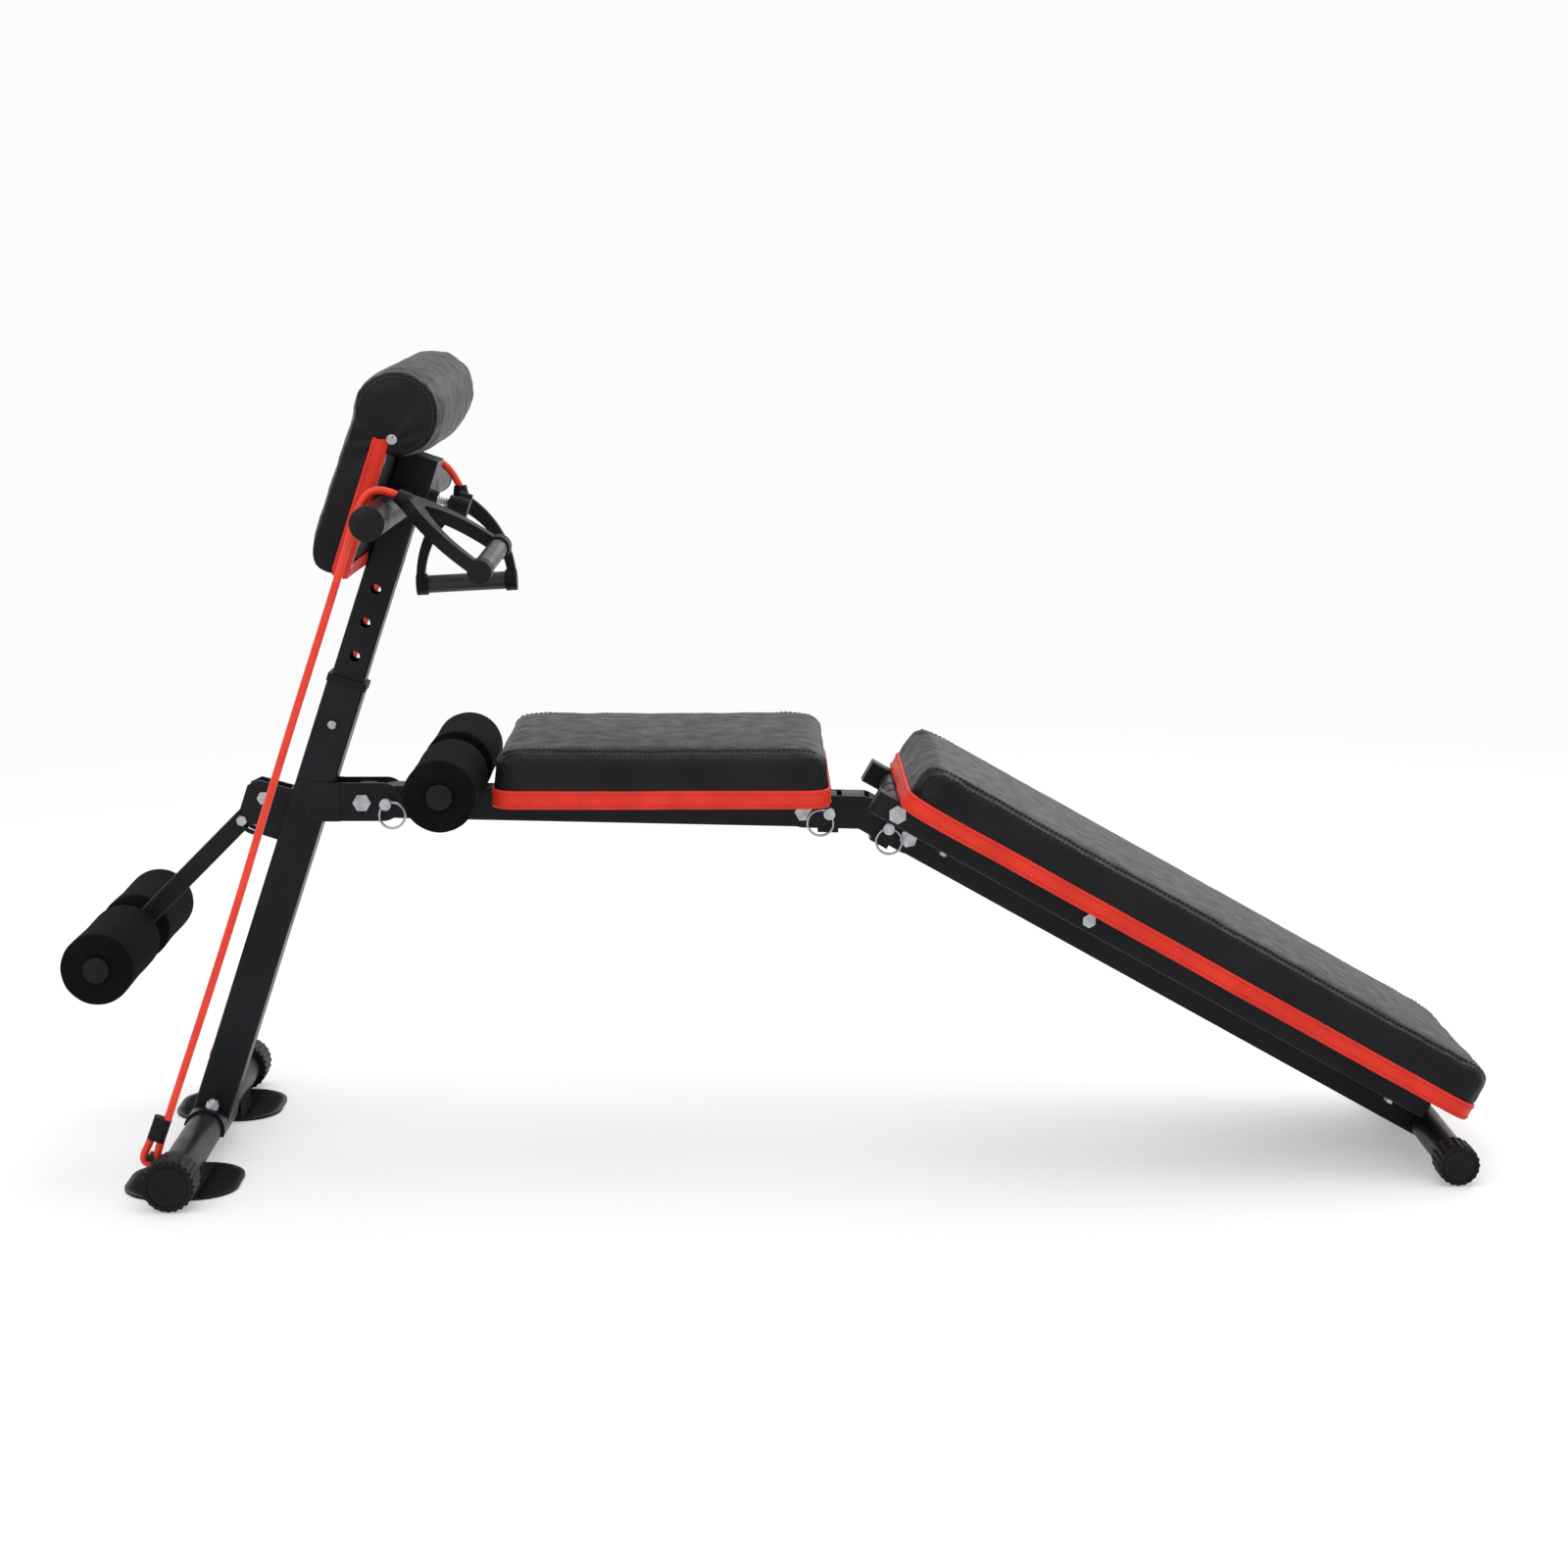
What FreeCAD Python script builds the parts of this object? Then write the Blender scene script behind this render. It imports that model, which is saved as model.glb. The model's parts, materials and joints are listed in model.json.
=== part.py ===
import FreeCAD, Part
import math
import os

# Decline sit-up bench: a folding arch of square tubes with a height-set leg pad on a post, two foam
# rollers, a seat, a tilting backrest and two elastic bands with pull handles. Millimetres, +Z up.
# X runs along the bench from the post to the rear foot, and y = 0 is its plane of symmetry.

V = FreeCAD.Vector
ORIGIN = V(0, 0, 0)
Y_AXIS = V(0, 1, 0)

# Main points of the side view, as (x, z).
BASE = (-620.0, 27.0)
REAR_FOOT = (696.0, 22.0)
SEAT_PIVOT = (-445.5, 378.5)
FRONT_PIVOT = (21.6, 367.5)
REAR_PIVOT = (132.7, 338.9)
BACK_PIVOT = (116.7, 380.0)
ARM_PIVOT = (-550.1, 382.2)
SEAT_ROLLER = (-348.6, 410.0)

POST_LEAN = 18.5
ARM_ANGLE = -135.0
POST_ANGLE = 90.0 - POST_LEAN

# Tubes: outer width and wall.
POST_TUBE = (40.0, 2.0)
INNER_TUBE = (35.0, 1.5)
BEAM_TUBE = (35.0, 2.0)
RAIL_TUBE = (25.0, 1.5)
ARM_TUBE = (20.0, 1.5)
TUBE_CORNER = 3.0
BASE_TUBE_R = 19.0
REAR_TUBE_R = 17.0
BAR_R = 16.0
AXLE_R = 11.0
FOAM_R = 37.5

# Half widths across the bench.
BASE_HALF = 250.0
REAR_HALF = 175.0
BAR_HALF = 332.0
ROLLER_HALF = 172.0
FOAM_INNER = 25.0
RAIL_Y = 95.0
PAD_HALF = 150.0
ROLL_HALF = 165.0
BAND_FOOT_Y = 200.0
BAND_TOP_Y = 228.0

# Clearances.
RUN_FIT = 0.05
SOFT_GAP = 0.3

# Fasteners.
PIVOT_BOLT_R = 5.0
LOCK_PIN_R = 4.0
HEIGHT_PIN_R = 4.7
PLATE = 3.0
CLEVIS_IN = 17.8
CLEVIS_OUT = CLEVIS_IN + PLATE

# Places along the post, measured from the base tube's axis.
POST_TOP = 505.0
HEIGHT_PIN_S = 459.0
HOLE_PITCH = 37.3
HEAD_DROP = HOLE_PITCH
HEAD_RISE = 2 * HOLE_PITCH
INNER_BOTTOM = 300.0
HEAD_TOP = 757.0
HEAD_BOTTOM = 690.0
BAR_S = 707.0
KNOB_S = 717.0
ROLL_S = 808.0
ROLL_BACK = 18.5
ROLL_R = 46.0
BOARD_BACK = 20.5
BOARD_THICK = 10.0
PAD_BACK = 60.0
PAD_LOW = 629.0

# Folding and locking geometry.
FOLD_MAX = 60.0
LEG_FOLD_MAX = 30.0
SEAT_PIN_OFFSET = 25.6
FRONT_PIN_OFFSET = 27.0
REAR_PIN_OFFSET = 24.0
BEAM_OVERHANG = 35.0
LEG_END_R = 32.5
ARM_LOCK_RADIUS = 34.5
ARM_SWING = 29.4
STRUT_PIVOT = 229.0
STRUT_LENGTH = 200.0
STRUT_DROP = 3.5
STRUT_BAR_R = 6.0

# Bands.
BAND_R = 4.0
EYE_DIRECTION = 146.0
EYE_DISTANCE = 31.5
EYE_ROD_R = 2.6
BAND_LEAN = 70.0


def direction(angle):
    """Unit vector in the side view, at an angle from +X towards +Z."""
    a = math.radians(angle)
    return math.cos(a), math.sin(a)


def angle_to(start, end):
    return math.degrees(math.atan2(end[1] - start[1], end[0] - start[0]))


def distance(start, end):
    return math.hypot(end[0] - start[0], end[1] - start[1])


def along(point, angle, ahead, up=0.0):
    """The point reached by going ahead in a direction, then up its left-hand normal."""
    c, s = direction(angle)
    return point[0] + ahead * c - up * s, point[1] + ahead * s + up * c


BEAM_ANGLE = angle_to(SEAT_PIVOT, FRONT_PIVOT)
LEG_ANGLE = angle_to(REAR_PIVOT, REAR_FOOT)
BEAM_LENGTH = distance(SEAT_PIVOT, FRONT_PIVOT)
LEG_LENGTH = distance(REAR_PIVOT, REAR_FOOT)
SHIN_ROLLER = along(ARM_PIVOT, ARM_ANGLE, 212.0)
BAR = along(BASE, POST_ANGLE, BAR_S)


def place(shape, point, angle=0.0):
    """Turns a shape built along local X into a side-view direction and sets it at a point."""
    shape = shape.copy()
    shape.rotate(ORIGIN, Y_AXIS, -angle)
    shape.translate(V(point[0], 0, point[1]))
    return shape


def mirrored(shape):
    return shape.mirror(ORIGIN, Y_AXIS)


def both_sides(shape):
    return [shape, mirrored(shape)]


def group(shapes):
    return Part.makeCompound(shapes)


def fuse(shapes):
    return shapes[0].fuse(shapes[1:]).removeSplitter()


def rod(x, z, radius, y0, y1):
    """Cylinder across the bench."""
    return Part.makeCylinder(radius, y1 - y0, V(x, y0, z), Y_AXIS)


def ring(x, z, outer, inner, y0, y1):
    return rod(x, z, outer, y0, y1).cut(rod(x, z, inner, y0 - 1, y1 + 1))


def block(x0, x1, y0, y1, z0, z1):
    return Part.makeBox(x1 - x0, y1 - y0, z1 - z0, V(x0, y0, z0))


def bar(x0, x1, width, height, radius=0.0):
    """Solid bar along local X, centred on the axis, with its long edges rounded."""
    solid = block(x0, x1, -width / 2, width / 2, -height / 2, height / 2)
    if radius > 0:
        long_edges = [e for e in solid.Edges if abs(e.tangentAt(e.FirstParameter).x) > 0.9]
        solid = solid.makeFillet(radius, long_edges)
    return solid


def square_tube(x0, x1, size):
    width, wall = size
    outer = bar(x0, x1, width, width, TUBE_CORNER)
    hollow = width - 2 * wall
    return outer.cut(bar(x0 - 1, x1 + 1, hollow, hollow, TUBE_CORNER - wall + 0.3))


def prism(points, y0, y1):
    """Plate with a polygon outline in the side view, from y0 to y1."""
    corners = [V(x, y0, z) for x, z in points]
    face = Part.Face(Part.makePolygon(corners + corners[:1]))
    return face.extrude(V(0, y1 - y0, 0))


def sector(radius_in, radius_out, a0, a1, y0, y1):
    """Part of a ring about the local origin, between two angles."""
    def at(radius, angle):
        c, s = direction(angle)
        return V(radius * c, y0, radius * s)
    middle = (a0 + a1) / 2
    edges = [
        Part.Arc(at(radius_out, a0), at(radius_out, middle), at(radius_out, a1)).toShape(),
        Part.makeLine(at(radius_out, a1), at(radius_in, a1)),
        Part.Arc(at(radius_in, a1), at(radius_in, middle), at(radius_in, a0)).toShape(),
        Part.makeLine(at(radius_in, a0), at(radius_out, a0)),
    ]
    return Part.Face(Part.Wire(edges)).extrude(V(0, y1 - y0, 0))


def arc_slot(radius, a0, a1, half_width, half_depth):
    """Cutter for a slot that follows a pin round the local origin."""
    low, high = min(a0, a1), max(a0, a1)
    shapes = [sector(radius - half_width, radius + half_width, low, high, -half_depth, half_depth)]
    for angle in (low, high):
        c, s = direction(angle)
        shapes.append(rod(radius * c, radius * s, half_width, -half_depth, half_depth))
    return fuse(shapes)


def hexagon(across_flats, y0, y1):
    radius = across_flats / math.sqrt(3)
    points = [(radius * direction(60 * i)[0], radius * direction(60 * i)[1]) for i in range(6)]
    return prism(points, y0, y1)


def cross_bolt(radius, across_flats, y_head, y_nut):
    """Bolt across the bench at the local origin: hex head at one end, washer and nut at the other."""
    head = 0.62 * 2 * radius
    washer_r = across_flats * 0.62
    washer = 1.5
    parts = [
        rod(0, 0, radius, y_head - 1, y_nut + head + washer + 3),
        hexagon(across_flats, y_head - head, y_head),
        rod(0, 0, washer_r, y_nut, y_nut + washer),
        hexagon(across_flats, y_nut + washer, y_nut + washer + head),
    ]
    return fuse(parts)


def rounded_slab(x0, x1, y0, y1, z0, z1, corner, edge):
    """Cushion: a slab with rounded plan corners and a softened top edge."""
    slab = block(x0, x1, y0, y1, z0, z1)
    upright = [e for e in slab.Edges if abs(e.tangentAt(e.FirstParameter).z) > 0.9]
    slab = slab.makeFillet(corner, upright)
    top = [e for e in slab.Edges if e.BoundBox.ZMin > z1 - 0.01]
    return slab.makeFillet(edge, top)


# ---------------------------------------------------------------- front base

def cap_solid(y_out, radius, tube_r, length, ribs):
    """Ribbed foot cap over the end of a round tube whose axis is at the local origin."""
    rib_r = 2.2
    body_r = radius - 1.4
    y_in = y_out - length
    parts = [rod(0, 0, body_r, y_in, y_out)]
    for i in range(ribs):
        c, s = direction(-90 + 360.0 * i / ribs)
        reach = radius - rib_r
        parts.append(rod(reach * c, reach * s, rib_r, y_in + 3, y_out - 2))
    cap = parts[0].fuse(parts[1:])
    cap = cap.cut(rod(0, 0, tube_r, y_in - 1, y_out - 3))
    return cap.cut(ring(0, 0, radius * 0.80, radius * 0.72, y_out - 1, y_out + 1))


def foot_tube(radius, half, cap_wall):
    return ring(0, 0, radius, radius - 2, -half + cap_wall, half - cap_wall)


def front_base_tube():
    tube = foot_tube(BASE_TUBE_R, BASE_HALF, 3)
    return place(tube, BASE)


def base_end_caps():
    cap = cap_solid(BASE_HALF, 27.0, BASE_TUBE_R, 40.0, 24)
    return group([place(c, BASE) for c in both_sides(cap)])


def foot_plates():
    """Oval tread plates on the floor, each with a riser welded to the base tube."""
    length, depth, thick, corner = 117.0, 126.0, 3.0, 46.0
    plate = block(-length / 2, length / 2, -depth / 2, depth / 2, 0, thick)
    upright = [e for e in plate.Edges if abs(e.tangentAt(e.FirstParameter).z) > 0.9]
    plate = plate.makeFillet(corner, upright)
    riser = block(-15, 15, -32, 32, thick, 20)
    riser = riser.cut(rod(0, BASE[1], BASE_TUBE_R, -40, 40))
    foot = plate.fuse(riser).removeSplitter()
    feet = []
    for side in (-1, 1):
        copy = foot.copy()
        copy.translate(V(BASE[0] - 2, side * 145.0, 0))
        copy = copy.cut(place(rod(0, 0, BASE_TUBE_R, -BASE_HALF, BASE_HALF), BASE))
        feet.append(copy)
    return group(feet)


SADDLE_R = BASE_TUBE_R + 3.0
SADDLE_HALF = 44.0
SADDLE_BOLT_Y = 32.0


def post_saddle():
    """Half shell that wraps over the base tube under the foot of the post."""
    shell = sector(BASE_TUBE_R, SADDLE_R, -95, 95, -SADDLE_HALF, SADDLE_HALF)
    for side in (-1, 1):
        shell = shell.cut(post_stud(4.0 + RUN_FIT, side))
    return place(shell, BASE, POST_ANGLE)


def post_stud(radius, side, start=15.0, length=20.0):
    return Part.makeCylinder(radius, length, V(start, side * SADDLE_BOLT_Y, 0), V(1, 0, 0))


def outer_post():
    tube = square_tube(8.0, POST_TOP, POST_TUBE)
    tube = tube.cut(rod(0, 0, SADDLE_R + 0.02, -40, 40))
    tube = tube.cut(rod(HEIGHT_PIN_S, 0, HEIGHT_PIN_R + RUN_FIT, -40, 40))
    return place(tube, BASE, POST_ANGLE)


def post_bushing():
    """Plastic collar over the top of the outer post that guides the inner one."""
    wide, skirt = 42.6, 4.0
    collar = bar(POST_TOP - skirt, POST_TOP + 4, wide, wide, 4)
    collar = collar.cut(bar(POST_TOP - skirt - 1, POST_TOP, POST_TUBE[0], POST_TUBE[0], TUBE_CORNER))
    collar = collar.cut(bar(POST_TOP - 1, POST_TOP + 5, 35.6, 35.6, 2.8))
    return place(collar, BASE, POST_ANGLE)


def seat_clevis():
    """Two side plates welded to the post that step in to hold the seat beam."""
    x_step = SEAT_PIVOT[0] - 26.0
    low, high = SEAT_PIVOT[1] - 20.5, SEAT_PIVOT[1] + 20.5
    hug = prism([(x_step - 34, low), (x_step + 2, low), (x_step + 2, high), (x_step - 34, high)],
                -23.0, -20.0)
    step = prism([(x_step - 2, low), (x_step + 2, low), (x_step + 2, high), (x_step - 2, high)],
                 -23.0, -CLEVIS_IN)
    nose_x = SEAT_PIVOT[0] + 21.5
    nose = prism([(x_step - 2, low), (nose_x, low), (nose_x, high), (x_step - 2, high)],
                 -CLEVIS_OUT, -CLEVIS_IN)
    cheek = fuse([hug, step, nose, rod(nose_x, SEAT_PIVOT[1], 20.5, -CLEVIS_OUT, -CLEVIS_IN)])
    pin = along(SEAT_PIVOT, BEAM_ANGLE, SEAT_PIN_OFFSET)
    cheek = cheek.cut(rod(*SEAT_PIVOT, PIVOT_BOLT_R + RUN_FIT, -30, 0))
    cheek = cheek.cut(rod(*pin, LOCK_PIN_R + RUN_FIT, -30, 0))
    return group(both_sides(cheek))


def arm_clevis():
    """U-bracket behind the post for the leg arm, with a curved slot for its lock screw."""
    half_in, half_out = 10.4, 13.4
    outline = [(320, 20), (377, 20), (375, 58), (366, 67.4), (340, 67.4), (320, 54)]
    cheek = prism(outline, -half_out, -half_in)
    cheek = place(cheek, BASE, POST_ANGLE)
    lobe = place(sector(1.0, 42.0, ARM_ANGLE - 12, ARM_ANGLE + ARM_SWING + 8, -half_out, -half_in), ARM_PIVOT)
    cheek = cheek.fuse(lobe).removeSplitter()
    slot = arc_slot(ARM_LOCK_RADIUS, ARM_ANGLE, ARM_ANGLE + ARM_SWING, 3.2, 30)
    cheek = cheek.cut(place(slot, ARM_PIVOT))
    cheek = cheek.cut(rod(*ARM_PIVOT, 4 + RUN_FIT, -30, 0))
    web = place(block(320, 377, -half_out, half_out, 20, 23), BASE, POST_ANGLE)
    return fuse([cheek, mirrored(cheek), web])


def band_eyes():
    """Staples on the base tube that the bands are looped round."""
    reach, half = EYE_DISTANCE, 7.0
    bridge = rod(reach, 0, EYE_ROD_R, -half - 3.4, half + 3.4)
    legs = []
    for side in (-1, 1):
        leg = Part.makeCylinder(EYE_ROD_R - 0.2, reach - 16, V(16, side * half, 0), V(1, 0, 0))
        legs.append(leg)
    staple = fuse([bridge] + legs)
    staple = staple.cut(rod(0, 0, BASE_TUBE_R, -30, 30))
    eyes = []
    for side in (-1, 1):
        eye = place(staple, BASE, EYE_DIRECTION)
        eye.translate(V(0, side * BAND_FOOT_Y, 0))
        eyes.append(eye)
    return group(eyes)


def post_bolts():
    """Seat pivot bolt, arm pivot bolt and the two saddle studs with dome nuts."""
    seat_bolt = place(cross_bolt(PIVOT_BOLT_R, 17, -CLEVIS_OUT, CLEVIS_OUT), SEAT_PIVOT)
    arm_bolt = place(cross_bolt(4.0, 13, -13.4, 13.4), ARM_PIVOT)
    studs = []
    for side in (-1, 1):
        shank = post_stud(4.0, side, BASE_TUBE_R + 0.1, 9.5)
        nut = hexagon(13, 0, 7)
        nut.rotate(ORIGIN, V(0, 0, 1), -90)
        nut.translate(V(SADDLE_R, side * SADDLE_BOLT_Y, 0))
        dome = Part.makeSphere(5.6, V(SADDLE_R + 5.5, side * SADDLE_BOLT_Y, 0))
        studs.append(place(fuse([shank, nut, dome]), BASE, POST_ANGLE))
    return group([seat_bolt, arm_bolt] + studs)


# ---------------------------------------------------------------- head

def inner_post():
    tube = square_tube(INNER_BOTTOM, HEAD_TOP - 3, INNER_TUBE)
    for i in range(2, 5):
        tube = tube.cut(rod(HEIGHT_PIN_S + i * HOLE_PITCH, 0, 5.6, -40, 40))
    low, high = HEIGHT_PIN_S - HEAD_RISE, HEIGHT_PIN_S + HEAD_DROP
    slide_gap = HEIGHT_PIN_R + SOFT_GAP
    slot = fuse([block(low, high, -40, 40, -slide_gap, slide_gap),
                 rod(low, 0, slide_gap, -40, 40), rod(high, 0, slide_gap, -40, 40)])
    tube = tube.cut(slot)
    tube = tube.cut(rod(BAR_S, 0, BAR_R + RUN_FIT, -40, 40))
    tube = tube.cut(clamp_cut())
    return place(tube, BASE, POST_ANGLE)


def clamp_cut():
    """Hole for the clamp screw, which runs in from the front face of the head."""
    return Part.makeCylinder(4.0 + RUN_FIT, 14, V(KNOB_S, 0, -34), V(0, 0, 1))


def head_block():
    half = 30.0
    shape = block(HEAD_BOTTOM, HEAD_TOP, -half, half, -23.5, INNER_TUBE[0] / 2)
    edges = [e for e in shape.Edges if abs(e.tangentAt(e.FirstParameter).x) > 0.9]
    shape = shape.makeFillet(2.0, edges)
    shape = shape.cut(bar(HEAD_BOTTOM - 1, HEAD_TOP - 3, INNER_TUBE[0], INNER_TUBE[0], TUBE_CORNER))
    shape = shape.cut(rod(BAR_S, 0, BAR_R + RUN_FIT, -40, 40))
    boss = Part.makeCylinder(8.5, 8.5, V(KNOB_S, 0, -32), V(0, 0, 1))
    shape = shape.fuse(boss).removeSplitter()
    shape = shape.cut(clamp_cut())
    return place(shape, BASE, POST_ANGLE)


def handlebar():
    half = BAR_HALF - 10
    return place(ring(0, 0, BAR_R, BAR_R - 2, -half, half), BAR)


def handlebar_caps():
    """Domed plugs with a lip at the ends of the handlebar."""
    y_end = BAR_HALF - 10
    dome = Part.makeSphere(26.0, V(0, y_end - 16, 0))
    lip = rod(0, 0, BAR_R + 0.8, y_end, BAR_HALF + 1)
    cap = lip.common(dome)
    plug = rod(0, 0, BAR_R - 2, y_end - 18, y_end)
    cap = cap.fuse(plug).removeSplitter()
    return group([place(c, BAR) for c in both_sides(cap)])


def upper_pad_bracket():
    """Flat bracket behind the head that carries the board of the leg pad."""
    plate = block(640, 755, -27, 27, INNER_TUBE[0] / 2, BOARD_BACK)
    for s in (655, 731):
        plate = plate.cut(Part.makeCylinder(3.0, 20, V(s, 22, 10), V(0, 0, 1)))
        plate = plate.cut(Part.makeCylinder(3.0, 20, V(s, -22, 10), V(0, 0, 1)))
    return place(plate, BASE, POST_ANGLE)


def upper_pad_board():
    board = block(PAD_LOW + 4, ROLL_S - ROLL_R - 2, -ROLL_HALF + 4, ROLL_HALF - 4,
                  BOARD_BACK, BOARD_BACK + BOARD_THICK)
    return place(board, BASE, POST_ANGLE)


def upper_pad():
    """Hooked cushion: a slab up the back of the post that ends in a thick roll over the top."""
    front = BOARD_BACK + BOARD_THICK + SOFT_GAP
    slab = block(PAD_LOW, ROLL_S, -ROLL_HALF, ROLL_HALF, front, PAD_BACK)
    low = [e for e in slab.Edges
           if abs(e.tangentAt(e.FirstParameter).y) > 0.9 and e.BoundBox.XMax < PAD_LOW + 1
           and e.BoundBox.ZMin > PAD_BACK - 1]
    slab = slab.makeFillet(20.0, low)
    roll = rod(ROLL_S, ROLL_BACK, ROLL_R, -ROLL_HALF, ROLL_HALF)
    shape = slab.fuse(roll).removeSplitter()
    return place(shape, BASE, POST_ANGLE)


def upper_pad_screws():
    """Pan-head screws in the ends of the roll."""
    head = rod(776.0, 16.0, 5.5, -ROLL_HALF - 3.0, -ROLL_HALF - 0.1)
    head = head.makeFillet(1.2, [e for e in head.Edges if e.BoundBox.YMax < -ROLL_HALF - 2.9])
    slot = block(776 - 3.2, 776 + 3.2, -ROLL_HALF - 4, -ROLL_HALF - 1.8, 16 - 0.6, 16 + 0.6)
    head = head.cut(slot)
    return group([place(s, BASE, POST_ANGLE) for s in both_sides(head)])


def clamp_screw():
    """Threaded rod of the star knob, which presses the handlebar in the head."""
    screw = Part.makeCylinder(4.0, 29.5, V(KNOB_S, 0, -50.5), V(0, 0, 1))
    return place(screw, BASE, POST_ANGLE)


def star_knob():
    lobes, reach, lobe_r = 6, 11.5, 4.6
    hub = Part.makeCylinder(9.0, 9, V(KNOB_S, 0, -53), V(0, 0, 1))
    wheel = Part.makeCylinder(12.5, 13, V(KNOB_S, 0, -66), V(0, 0, 1))
    parts = [hub, wheel]
    for i in range(lobes):
        c, s = direction(360.0 * i / lobes)
        parts.append(Part.makeCylinder(lobe_r, 13, V(KNOB_S + reach * c, reach * s, -66), V(0, 0, 1)))
    knob = fuse(parts)
    knob = knob.cut(Part.makeCylinder(4.0, 8, V(KNOB_S, 0, -50.5), V(0, 0, 1)))
    return place(knob, BASE, POST_ANGLE)


def height_pin():
    """Pull pin through the post, with its knob on the far side."""
    shank = rod(HEIGHT_PIN_S, 0, HEIGHT_PIN_R, -31, 38)
    tip = [e for e in shank.Edges if e.BoundBox.YMax < -30.9]
    shank = shank.makeFillet(1.2, tip)
    collar = rod(HEIGHT_PIN_S, 0, 9.0, 20.3, 26)
    knob = rod(HEIGHT_PIN_S, 0, 14.0, 34, 54)
    knob = knob.makeFillet(5.0, [e for e in knob.Edges if e.BoundBox.YMin > 53.9])
    return place(fuse([shank, collar, knob]), BASE, POST_ANGLE)


# ---------------------------------------------------------------- rollers and leg arm

def foam_sleeve(point, side):
    sleeve = ring(0, 0, FOAM_R, AXLE_R + SOFT_GAP, FOAM_INNER, ROLLER_HALF)
    ends = [e for e in sleeve.Edges if e.BoundBox.XMax > FOAM_R - 1 and e.BoundBox.YLength < 0.01]
    sleeve = sleeve.makeFillet(3.0, ends)
    return place(sleeve if side > 0 else mirrored(sleeve), point)


def roller_plugs(point):
    flange = rod(0, 0, 13.5, ROLLER_HALF + 0.5, ROLLER_HALF + 4.5)
    flange = flange.makeFillet(1.5, [e for e in flange.Edges if e.BoundBox.YMin > ROLLER_HALF + 4.4])
    stub = rod(0, 0, AXLE_R - 1.5, ROLLER_HALF - 15, ROLLER_HALF + 1)
    plug = flange.fuse(stub).removeSplitter()
    return group([place(p, point) for p in both_sides(plug)])


def axle_tube():
    return ring(0, 0, AXLE_R, AXLE_R - 1.5, -ROLLER_HALF - 0.4, ROLLER_HALF + 0.4)


def shin_arm():
    """Square arm with its rounded end in the clevis and the roller axle welded at its foot."""
    length = distance(ARM_PIVOT, SHIN_ROLLER)
    arm = square_tube(-10.0, length, ARM_TUBE)
    rounded = fuse([block(0, length + 1, -20, 20, -20, 20), rod(0, 0, 10.0, -20, 20)])
    arm = arm.common(rounded)
    arm = arm.cut(rod(0, 0, 4 + RUN_FIT, -20, 20))
    arm = arm.cut(rod(ARM_LOCK_RADIUS, 0, 3.0 + RUN_FIT, -20, 20))
    arm = arm.cut(rod(length, 0, AXLE_R - 0.2, -20, 20))
    arm = place(arm, ARM_PIVOT, ARM_ANGLE)
    return arm.fuse(place(axle_tube(), SHIN_ROLLER)).removeSplitter()


def arm_lock_screw():
    screw = place(cross_bolt(3.0, 10, -13.6, 13.6), (ARM_LOCK_RADIUS, 0))
    return place(screw, ARM_PIVOT, ARM_ANGLE)


# ---------------------------------------------------------------- seat

PAD_BASE_Z = 394.0
SEAT_X = (-298.0, 46.0)
SEAT_TOP_Z = 446.0


def seat_beam():
    """Square beam with a round front end, and curved slots that its two lock pins run in."""
    end = BEAM_LENGTH + BEAM_OVERHANG
    beam = square_tube(-BEAM_TUBE[0] / 2, end, BEAM_TUBE)
    rounded = fuse([block(0, end + 1, -30, 30, -30, 30), rod(0, 0, BEAM_TUBE[0] / 2 - 0.1, -30, 30)])
    beam = beam.common(rounded)
    pin_gap = LOCK_PIN_R + SOFT_GAP
    beam = beam.cut(arc_slot(SEAT_PIN_OFFSET, 0, FOLD_MAX + 3, pin_gap, 30))
    rear = arc_slot(FRONT_PIN_OFFSET, -FOLD_MAX - 3, 0, pin_gap, 30)
    rear.translate(V(BEAM_LENGTH, 0, 0))
    beam = beam.cut(rear)
    for x in (0, BEAM_LENGTH):
        beam = beam.cut(rod(x, 0, PIVOT_BOLT_R + RUN_FIT, -30, 30))
    beam = place(beam, SEAT_PIVOT, BEAM_ANGLE)
    saddle = block(-12, 12, -15, 15, 391 - SEAT_ROLLER[1], -2)
    saddle = place(saddle, SEAT_ROLLER).cut(rod(*SEAT_ROLLER, AXLE_R, -30, 30))
    return beam.fuse(saddle.cut(beam_core())).removeSplitter()


def beam_core():
    return place(bar(0, BEAM_LENGTH, BEAM_TUBE[0] - 2, BEAM_TUBE[0] - 2), SEAT_PIVOT, BEAM_ANGLE)


def seat_roller_axle():
    return place(axle_tube(), SEAT_ROLLER)


def seat_pad_brackets():
    """Two cross bars that level the seat board on the sloping beam."""
    bars = []
    for x in (-240.0, -20.0):
        plate = block(x - 15, x + 15, -110, 110, PAD_BASE_Z - 12, PAD_BASE_Z)
        plate = plate.cut(block(x - 16, x + 16, -107, -18.0, PAD_BASE_Z - 13, PAD_BASE_Z - 3))
        plate = plate.cut(block(x - 16, x + 16, 18.0, 107, PAD_BASE_Z - 13, PAD_BASE_Z - 3))
        plate = plate.cut(place(bar(0, BEAM_LENGTH, 35, 35), SEAT_PIVOT, BEAM_ANGLE))
        bars.append(plate)
    return group(bars)


def seat_board():
    board = block(SEAT_X[0] + 4, SEAT_X[1] - 4, -PAD_HALF + 4, PAD_HALF - 4, PAD_BASE_Z, PAD_BASE_Z + 12)
    upright = [e for e in board.Edges if abs(e.tangentAt(e.FirstParameter).z) > 0.9]
    return board.makeFillet(22.0, upright)


def seat_pad():
    return rounded_slab(*SEAT_X, -PAD_HALF, PAD_HALF, PAD_BASE_Z + 12.3, SEAT_TOP_Z + 2, 26.0, 12.0)


# ---------------------------------------------------------------- elbow between seat and rear leg

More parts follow.
